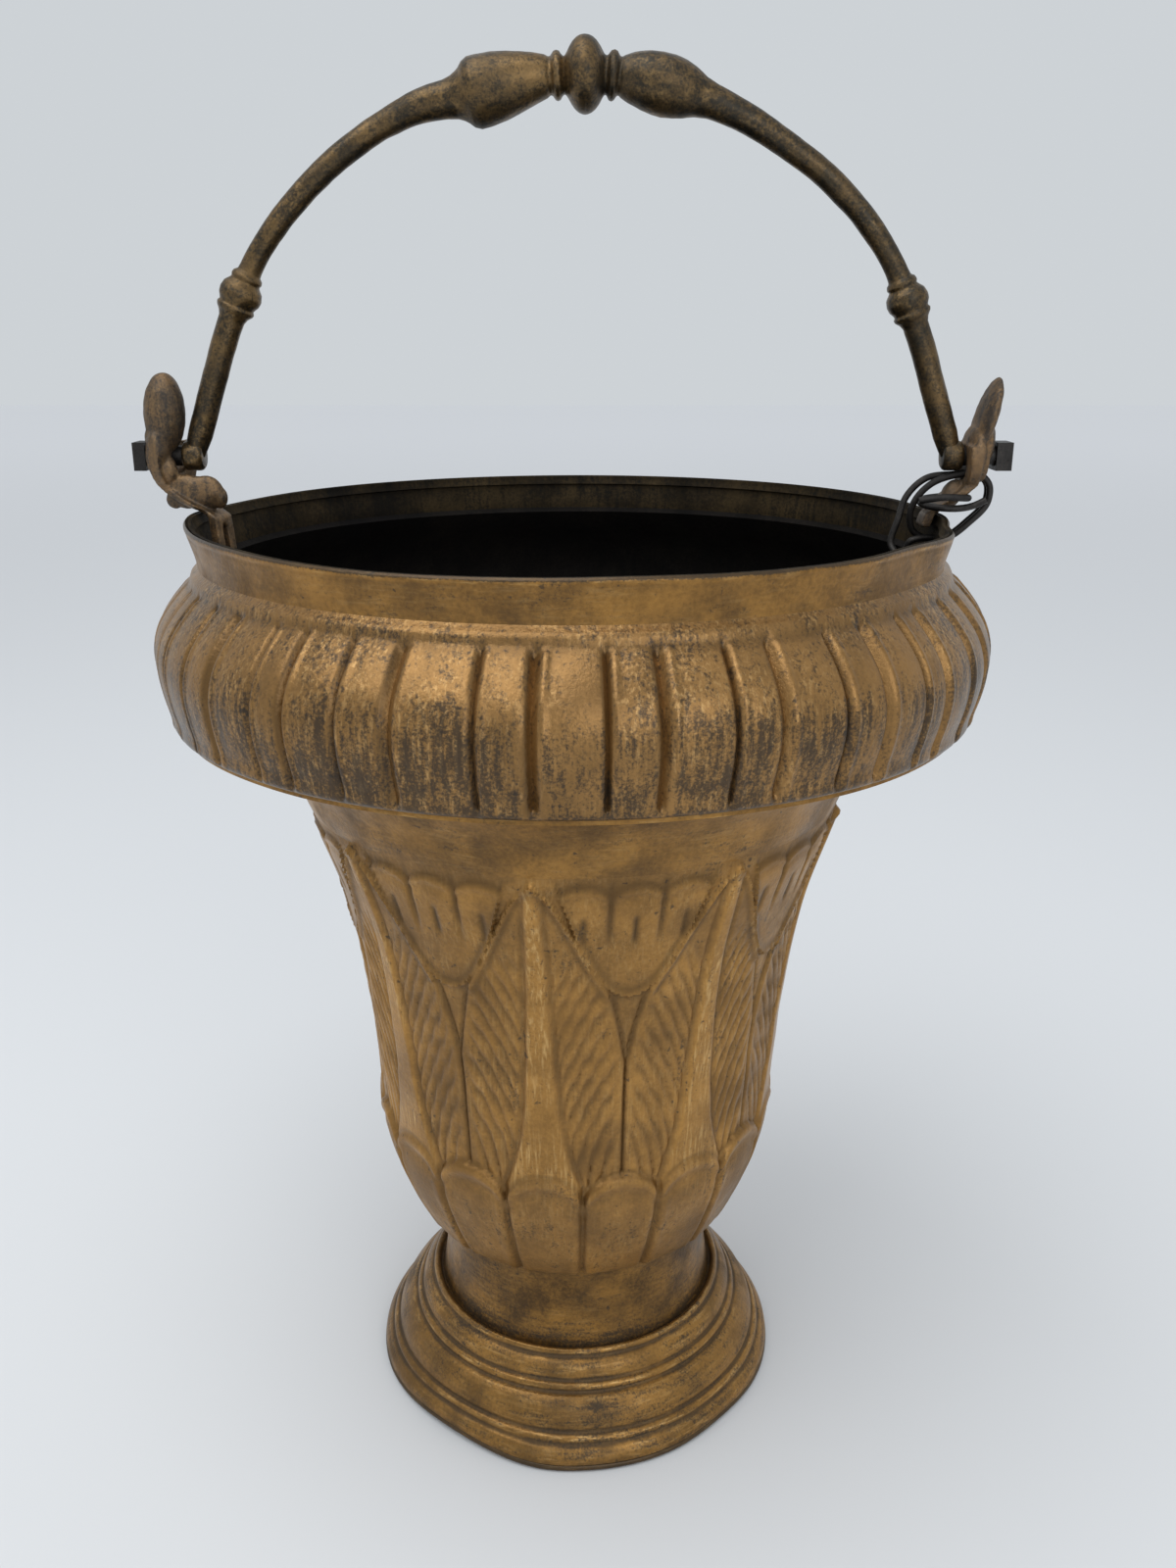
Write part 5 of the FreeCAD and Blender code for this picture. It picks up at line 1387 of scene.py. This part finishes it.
@dataclass
class Bail:
    """The cast bail: knop, rings and grips on top, curved arms, side knops and shanks."""

    pivot_half: float = 111.0
    pivot_height: float = 310.0
    crown: tuple[float, float] = (3.6, 410.2)
    left_route: Pairs = ((-9.2, 409.5), (-19.8, 407.3), (-26.5, 405.7), (-33.1, 404.3), (-39.9, 402.9),
                         (-50.0, 398.6), (-63.9, 389.9), (-74.6, 380.8), (-84.1, 370.3), (-90.6, 360.8),
                         (-94.0, 354.0), (-97.0, 347.6), (-104.0, 329.3), (-110.6, 310.6))
    left_knop: int = 10
    right_route: Pairs = ((10.9, 410.0), (19.2, 408.9), (26.0, 407.4), (33.4, 405.3), (44.0, 401.2),
                          (57.5, 393.8), (71.2, 384.2), (81.5, 374.2), (91.4, 360.2), (95.0, 352.4),
                          (99.0, 343.0), (105.4, 325.0), (110.6, 310.6))
    right_knop: int = 9
    middle_profile: Pairs = ((0.0, 9.7), (1.0, 9.55), (2.0, 9.1), (3.0, 8.3), (4.0, 7.0), (4.9, 5.4),
                             (5.5, 4.7), (6.1, 5.0), (6.7, 6.0), (7.6, 6.3), (8.4, 5.9), (9.0, 4.9),
                             (9.6, 4.7))
    left_grip: Pairs = ((10.5, 5.3), (12.5, 5.9), (15.7, 6.8), (19.5, 7.8), (23.8, 8.6), (27.5, 9.0),
                        (30.4, 9.0), (32.1, 8.2), (33.3, 6.9), (34.3, 6.2), (36.0, 5.4), (38.5, 4.9),
                        (44.3, 4.4), (50.0, 3.9), (58.0, 3.5), (78.0, 3.35), (104.0, 3.15))
    right_grip: Pairs = ((10.2, 5.2), (12.5, 6.2), (16.5, 7.3), (20.0, 7.8), (22.7, 7.9), (26.0, 7.4),
                         (28.9, 6.5), (32.0, 5.2), (35.4, 4.4), (41.8, 4.0), (58.0, 3.5), (88.0, 3.3),
                         (104.0, 3.1))
    side_knop: Pairs = ((-8.0, 3.15), (-6.6, 3.3), (-6.0, 4.1), (-5.0, 4.4), (-4.2, 4.0), (-3.7, 4.3),
                        (-2.4, 5.5), (-0.6, 6.0), (1.0, 5.8), (2.2, 5.1), (2.8, 4.9), (3.4, 5.4), (4.2, 5.2),
                        (5.4, 4.2), (6.8, 3.6))
    shank_radius: float = 3.55
    shank_taper: float = 6.0
    shank_end: float = 3.0
    eye_profile: Pairs = ((-3.0, 3.2), (-2.95, 3.4), (-2.5, 4.0), (-1.8, 4.3), (1.8, 4.3), (2.5, 4.0),
                          (2.95, 3.4), (3.0, 3.2))
    samples: int = 420
    rod_sides: int = 40
    rod_uneven: float = 0.55
    eye_sides: int = 32
    eye_uneven: float = 0.1

    def half(self, route: Pairs, grip: Pairs, knop_row: int) -> tuple[np.ndarray, np.ndarray]:
        """One half of the bail, from the middle down to its pivot.

        Args:
            route: Points along the middle of the rod.
            grip: Radius by distance from the middle, from the ring to the side knop.
            knop_row: Which point of the route the side knop sits on.

        Returns:
            Points and radii.
        """
        points = smooth_line((self.crown,) + tuple(route), self.samples)
        along = run_lengths(points)
        knop = along[np.argmin(np.linalg.norm(points - np.asarray(route[knop_row]), axis=1))]
        stations = list(self.middle_profile) + list(grip)
        stations += [(knop + away, radius) for away, radius in self.side_knop]
        stations += [(along[-1] - self.shank_taper, self.shank_radius), (along[-1], self.shank_end)]
        rod = np.column_stack([points[:, 0], np.zeros(len(points)), points[:, 1]])
        return rod, np.interp(along, *np.transpose(stations))

    def build(self) -> None:
        """Make the bail in one casting, and the eyes that sit on the pegs."""
        left, left_thick = self.half(self.left_route, self.left_grip, self.left_knop)
        right, right_thick = self.half(self.right_route, self.right_grip, self.right_knop)
        route = np.vstack([left[::-1], right[1:]])
        thick = np.concatenate([left_thick[::-1], right_thick[1:]])
        bail = SweptRod().apply("cast_bail", route, thick, BAIL_BRONZE, self.rod_sides, self.rod_uneven)
        solids = [f"{side}_{part}" for side in ("left", "right")
                  for part in ("ring", "grip", "arm", "knop", "shank")]
        dress(bail, BodyName.BAIL, ["bail_knop"] + solids)
        steps, radii = np.transpose(self.eye_profile)
        for side, sign in (("left", -1.0), ("right", 1.0)):
            middle = np.column_stack([sign * self.pivot_half + steps, np.zeros(len(steps)),
                                      np.full(len(steps), self.pivot_height)])
            eye = SweptRod().apply(f"{side}_eye", middle, radii, BAIL_BRONZE, self.eye_sides, self.eye_uneven)
            dress(eye, BodyName.BAIL, [f"{side}_shank"])


@dataclass(frozen=True)
class Lump:
    """A round mass that a casting is modelled from: its middle, half its size, and its lean."""

    place: Triple
    half: Triple
    lean: float = 0.0

    def matrix(self) -> Matrix:
        """Where the mass lies, for a ball of one millimetre."""
        lean = Matrix.Rotation(math.radians(self.lean), 4, "Y")
        return Matrix.Translation(Vector(self.place) * MM) @ lean @ Matrix.Diagonal((*self.half, 1.0))


@dataclass
class CastEar:
    """An ear of the bail: the solid and its modelled masses under one softened skin."""

    name: str
    node: str
    lumps: tuple[Lump, ...]
    cut_above: float
    voxel: float = 0.38
    softening: int = 10
    softness: float = 0.5
    uneven: float = 0.05
    ball_rounds: int = 28
    ball_rings: int = 18

    def masses(self) -> bpy.types.Mesh:
        """The solid, cut off below its plain upper plate, with the modelled masses.

        Returns:
            The mesh of all of them, in metres.
        """
        shape = bmesh.new()
        shape.from_mesh(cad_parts[self.node].data)
        bmesh.ops.remove_doubles(shape, verts=shape.verts, dist=0.002 * MM)
        everything = list(shape.verts) + list(shape.edges) + list(shape.faces)
        bmesh.ops.bisect_plane(shape, geom=everything, plane_co=(0.0, 0.0, self.cut_above * MM),
                               plane_no=(0.0, 0.0, 1.0), clear_outer=True)
        bmesh.ops.holes_fill(shape, edges=[edge for edge in shape.edges if edge.is_boundary], sides=0)
        for lump in self.lumps:
            bmesh.ops.create_uvsphere(shape, u_segments=self.ball_rounds, v_segments=self.ball_rings,
                                      radius=MM, matrix=lump.matrix())
        mesh = bpy.data.meshes.new(f"{self.name}_masses")
        shape.to_mesh(mesh)
        shape.free()
        return mesh

    def build(self) -> None:
        """Join the masses, soften them and dress the ear."""
        tool = add_object(f"{self.name}_masses", self.masses())
        skin = tool.modifiers.new("Skin", "REMESH")
        skin.mode = "VOXEL"
        skin.voxel_size = self.voxel * MM
        soft = tool.modifiers.new("Soft", "SMOOTH")
        soft.factor = self.softness
        soft.iterations = self.softening
        piece = keep_result(tool, self.name)
        self.roughen(piece.data)
        coat(piece, EAR_BRONZE)
        dress(piece, BodyName.VESSEL, [self.node])

    def roughen(self, mesh: bpy.types.Mesh) -> None:
        """Let the skin wander a little, as a sand casting does.

        Args:
            mesh: The ear's mesh, in metres.
        """
        places = read_points(mesh) / MM
        across, deep, height = places.T
        wander = (np.sin(across * 0.9 + 1.0) * np.sin(deep * 1.1 + height * 0.7)
                  + 0.6 * np.sin(height * 1.7 - deep * 1.3 + across * 0.8))
        move_points(mesh, places + read_points(mesh, "normal") * (self.uneven * wander)[:, None])


@dataclass
class Ears:
    """Both ears; the left one is broad and faces the front, the right one is seen along its edge."""

    left_lumps: tuple[Lump, ...] = (
        Lump((-117.8, -2.6, 322.2), (5.9, 5.8, 11.4), 3.0),
        Lump((-119.4, -5.6, 312.6), (3.2, 4.2, 5.8), -6.0),
        Lump((-121.2, -4.6, 315.4), (2.4, 2.4, 3.2)),
        Lump((-117.4, -5.8, 306.8), (2.8, 2.4, 4.4), -14.0),
        Lump((-112.6, -5.2, 300.2), (5.4, 2.4, 5.0)),
        Lump((-107.0, -5.2, 300.0), (5.2, 2.4, 4.9)),
        Lump((-109.8, -5.4, 300.0), (6.0, 2.3, 4.8)),
        Lump((-116.4, -4.6, 298.0), (2.6, 2.2, 2.8)),
        Lump((-103.4, -4.6, 298.4), (2.4, 2.2, 3.2)),
    )
    left_cut: float = 314.0
    right_lumps: tuple[Lump, ...] = (
        Lump((119.8, 0.0, 320.0), (2.5, 9.0, 12.6), 15.0),
        Lump((117.3, 0.0, 311.0), (2.8, 10.0, 7.8)),
        Lump((120.0, -1.0, 313.0), (2.5, 6.4, 6.6), 8.0),
        Lump((111.6, -1.0, 299.0), (3.0, 3.6, 4.6), 24.0),
    )
    right_cut: float = 313.4

    def build(self) -> None:
        """Make the two ears."""
        CastEar("left_scrolled_ear", "left_ear", self.left_lumps, self.left_cut).build()
        CastEar("right_leaf_ear", "right_ear", self.right_lumps, self.right_cut).build()


@dataclass
class Wires:
    """The two iron wires of the right ear: a lashing through the collar and a tie round the ear's foot."""

    radius: float = 1.0
    strand: float = 1.3
    collar: float = 107.8
    hole: float = 286.2
    rim: float = MOUTH_TOP
    ear: float = 116.1
    boss: float = 120.4
    strand_height: float = 304.5
    twist_fall: Triple = (-0.3, -0.25, -0.92)
    twist_quarters: int = 7
    twist_step: float = 2.75
    twist_radius: float = 1.45
    twist_flare: float = 1.6
    tie_inset: float = 7.5
    tie_girth: float = 8.5
    tie_turns: tuple[tuple[float, float, float, float], ...] = (
        (11.5, -1.0, 0.6, 5.0), (8.5, -1.0, 1.0, 3.4), (3.5, -1.0, -0.2, 2.6), (-2.0, -1.0, 0.4, 2.7),
        (-5.4, 0.0, 0.0, 3.0), (-2.4, 1.0, -0.2, 3.5), (2.2, 1.0, 0.3, 4.0), (6.6, 1.0, -3.4, 4.5),
        (7.2, -1.0, 4.0, 5.1), (4.6, -1.0, -1.4, 5.7), (-1.5, -1.0, -2.4, 6.0), (-8.5, -1.0, -1.6, 5.0))

    def up_outside(self, along: float) -> list[Triple]:
        """Out through the collar, up outside and in through the ear, under the peg.

        Args:
            along: How far the strand lies to the back.

        Returns:
            The strand's points.
        """
        return [
            (self.collar - 3.5, along, self.hole),
            (self.collar + 4.0, along, self.hole + 0.3),
            (self.boss - 3.0, along, self.rim - 2.5),
            (self.boss + 2.2, along, self.rim + 4.0),
            (self.boss + 2.0, along, self.strand_height - 2.6),
            (self.boss - 0.5, along, self.strand_height),
            (self.ear - 4.0, along, self.strand_height),
        ]

    def twist(self, start: float) -> list[Triple]:
        """Down one strand of the twisted ends inside the collar.

        Args:
            start: The angle where the strand starts, in radians.

        Returns:
            The strand's points.
        """
        knot = Vector((self.collar - 10.5, 0.0, self.hole - 3.0))
        fall = Vector(self.twist_fall).normalized()
        side = fall.cross(Vector((0.0, 1.0, 0.0))).normalized()
        front = fall.cross(side)
        points = []
        for quarter in range(self.twist_quarters):
            angle = start - quarter * math.pi / 2.0
            at_end = quarter in (0, self.twist_quarters - 1)
            reach = self.twist_radius * (self.twist_flare if at_end else 1.0)
            swing = side * math.cos(angle) + front * math.sin(angle)
            points.append(tuple(knot + fall * (self.twist_step * quarter) + swing * reach))
        return points

    def lashing(self) -> list[Triple]:
        """The route of the lashing, from one twisted end to the other.

        Returns:
            The route's points.
        """
        half = self.strand
        return (self.twist(0.0)[::-1] + [(self.collar - 7.4, -half, self.hole - 1.0)] + self.up_outside(-half)
                + [(self.collar - 2.6, -half, self.strand_height - 2.6),
                   (self.collar - 6.6, -0.5 * half, self.rim + 4.0),
                   (self.collar - 7.6, 0.3 * half, self.rim - 1.0),
                   (self.collar - 6.0, half, self.hole + 1.6)]
                + self.up_outside(half)
                + [(self.collar - 3.6, half, self.strand_height - 1.2),
                   (self.collar - 8.8, half, self.rim + 5.0),
                   (self.collar - 11.0, 0.5 * half, self.rim - 2.0)]
                + self.twist(math.pi))

    def tie(self) -> list[Triple]:
        """The route of the tie round the foot of the ear.

        Returns:
            The route's points.
        """
        foot = self.ear - self.tie_inset
        return [(foot + across, self.tie_girth * side + off, self.rim + up)
                for across, side, off, up in self.tie_turns]

    def tube(self, name: str, node: str, route: Sequence[Triple]) -> None:
        """A smooth round wire along a route.

        Args:
            name: The piece's name.
            node: The solid that it stands for.
            route: Points along its middle, in millimetres.
        """
        points = smooth_line(route, len(route) * 6)
        data = bpy.data.curves.new(name, "CURVE")
        data.dimensions = "3D"
        data.bevel_depth = self.radius * MM
        data.bevel_resolution = 4
        data.use_fill_caps = True
        spline = data.splines.new("NURBS")
        spline.points.add(len(points) - 1)
        spline.points.foreach_set("co", np.column_stack([points * MM, np.ones(len(points))]).ravel())
        spline.order_u = 3
        spline.use_endpoint_u = True
        spline.resolution_u = 3
        piece = keep_result(add_object(f"{name}_route", data), name)
        coat(piece, DARK_IRON)
        dress(piece, BodyName.VESSEL, [node])

    def build(self) -> None:
        """Make both wires."""
        self.tube("ear_lashing_wire", "right_ear_lashing", self.lashing())
        self.tube("rim_tie_wire", "right_rim_tie", self.tie())


@dataclass
class Pegs:
    """The two iron pegs, which keep the shape of their solids."""

    nodes: tuple[str, ...] = ("left_peg", "right_peg")

    def build(self) -> None:
        """Give each peg its finish."""
        for name in self.nodes:
            coat(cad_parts[name], DARK_IRON)
            LOG.info("%s: solid with %s", name, DARK_IRON.name)


@dataclass(frozen=True)
class SoftBox:
    """A square soft light, in metres and watts."""

    name: str
    place: Triple
    target: Triple
    side: float
    power: float

    def build(self) -> None:
        """Hang the lamp and turn it to its target."""
        data = bpy.data.lights.new(self.name, "AREA")
        data.size = self.side
        data.energy = self.power
        lamp = add_object(self.name, data)
        lamp.location = self.place
        lamp.rotation_euler = (Vector(self.target) - Vector(self.place)).to_track_quat("-Z", "Y").to_euler()


@dataclass
class Studio:
    """Pale floor and background, soft light and the photograph's view, in metres."""

    camera_place: Triple = (0.00441, -0.40718, 0.34620)
    camera_pitch: float = 18.704
    focal_length: float = 31.105
    sensor: float = 36.0
    nearest_seen: float = 0.01
    floor_half: float = 6.0
    floor_colour: Colour = (0.772, 0.797, 0.822, 1.0)
    near_floor_colour: Colour = (0.685, 0.708, 0.726, 1.0)
    floor_change: tuple[float, float] = (1.0, 4.5)
    floor_roughness: float = 0.9
    floor_specular: float = 0.1
    sky_colour: Colour = (0.612, 0.645, 0.673, 1.0)
    light_colour: Colour = (0.95, 0.97, 1.0, 1.0)
    light_strength: float = 0.82
    lamps: tuple[SoftBox, ...] = (
        SoftBox("overhead_light", (-0.35, -0.35, 1.35), (0.0, 0.0, 0.22), 1.1, 7.8),
        SoftBox("front_light", (0.55, -1.35, 0.85), (0.0, 0.0, 0.2), 1.0, 4.6),
    )

    def build(self) -> None:
        """Make the whole studio."""
        self.floor()
        self.light()
        self.camera()
        bpy.context.scene.view_settings.view_transform = "Standard"

    def floor(self) -> None:
        """A wide pale floor."""
        half = self.floor_half
        mesh = bpy.data.meshes.new("pale_floor")
        corners = [(-half, -half, 0.0), (half, -half, 0.0), (half, half, 0.0), (-half, half, 0.0)]
        mesh.from_pydata(corners, [], [(0, 1, 2, 3)])
        made = bpy.data.materials.new("pale_floor")
        made.use_nodes = True
        shader = made.node_tree.nodes["Principled BSDF"]
        nodes = Nodes(made.node_tree)
        place = nodes.add("ShaderNodeTexCoord").outputs["Object"]
        away = nodes.add("ShaderNodeVectorMath", {0: place}, operation="LENGTH").outputs["Value"]
        far = nodes.spread(away, *self.floor_change)
        nodes.feed(shader.inputs["Base Color"], nodes.mix(far, self.near_floor_colour, self.floor_colour))
        shader.inputs["Roughness"].default_value = self.floor_roughness
        shader.inputs["Specular IOR Level"].default_value = self.floor_specular
        mesh.materials.append(made)
        floor = add_object("pale_floor", mesh)

    def light(self) -> None:
        """Even light from all round, with soft boxes above and in front."""
        world = bpy.data.worlds.new("studio")
        bpy.context.scene.world = world
        world.use_nodes = True
        world.node_tree.nodes.clear()
        nodes = Nodes(world.node_tree)
        rays = nodes.add("ShaderNodeLightPath").outputs
        mirrored = nodes.reckon("MAXIMUM", rays["Is Glossy Ray"], rays["Is Transmission Ray"])
        seen = nodes.reckon("MAXIMUM", rays["Is Camera Ray"], mirrored)
        around = nodes.add("ShaderNodeBackground", {"Color": self.light_colour,
                                                    "Strength": self.light_strength})
        behind = nodes.add("ShaderNodeBackground", {"Color": self.sky_colour, "Strength": 1.0})
        both = nodes.add("ShaderNodeMixShader", {0: seen, 1: around.outputs[0], 2: behind.outputs[0]})
        nodes.add("ShaderNodeOutputWorld", {"Surface": both.outputs[0]})
        for lamp in self.lamps:
            lamp.build()

    def camera(self) -> None:
        """The photograph's view."""
        data = bpy.data.cameras.new("photo_view")
        data.sensor_width = self.sensor
        data.sensor_height = self.sensor
        data.lens = self.focal_length
        data.clip_start = self.nearest_seen
        camera = add_object("photo_view", data)
        camera.location = self.camera_place
        camera.rotation_euler = (math.radians(90.0 - self.camera_pitch), 0.0, 0.0)
        bpy.context.scene.camera = camera


def write_sizes() -> None:
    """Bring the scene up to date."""
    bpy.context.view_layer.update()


def main() -> None:
    """Build the studio, the bucket and its bail in order."""
    logging.basicConfig(level=logging.INFO, format="%(message)s")
    Studio().build()
    Vessel().build()
    Bail().build()
    Ears().build()
    Wires().build()
    Pegs().build()
    write_sizes()


if __name__ == "__main__":
    main()
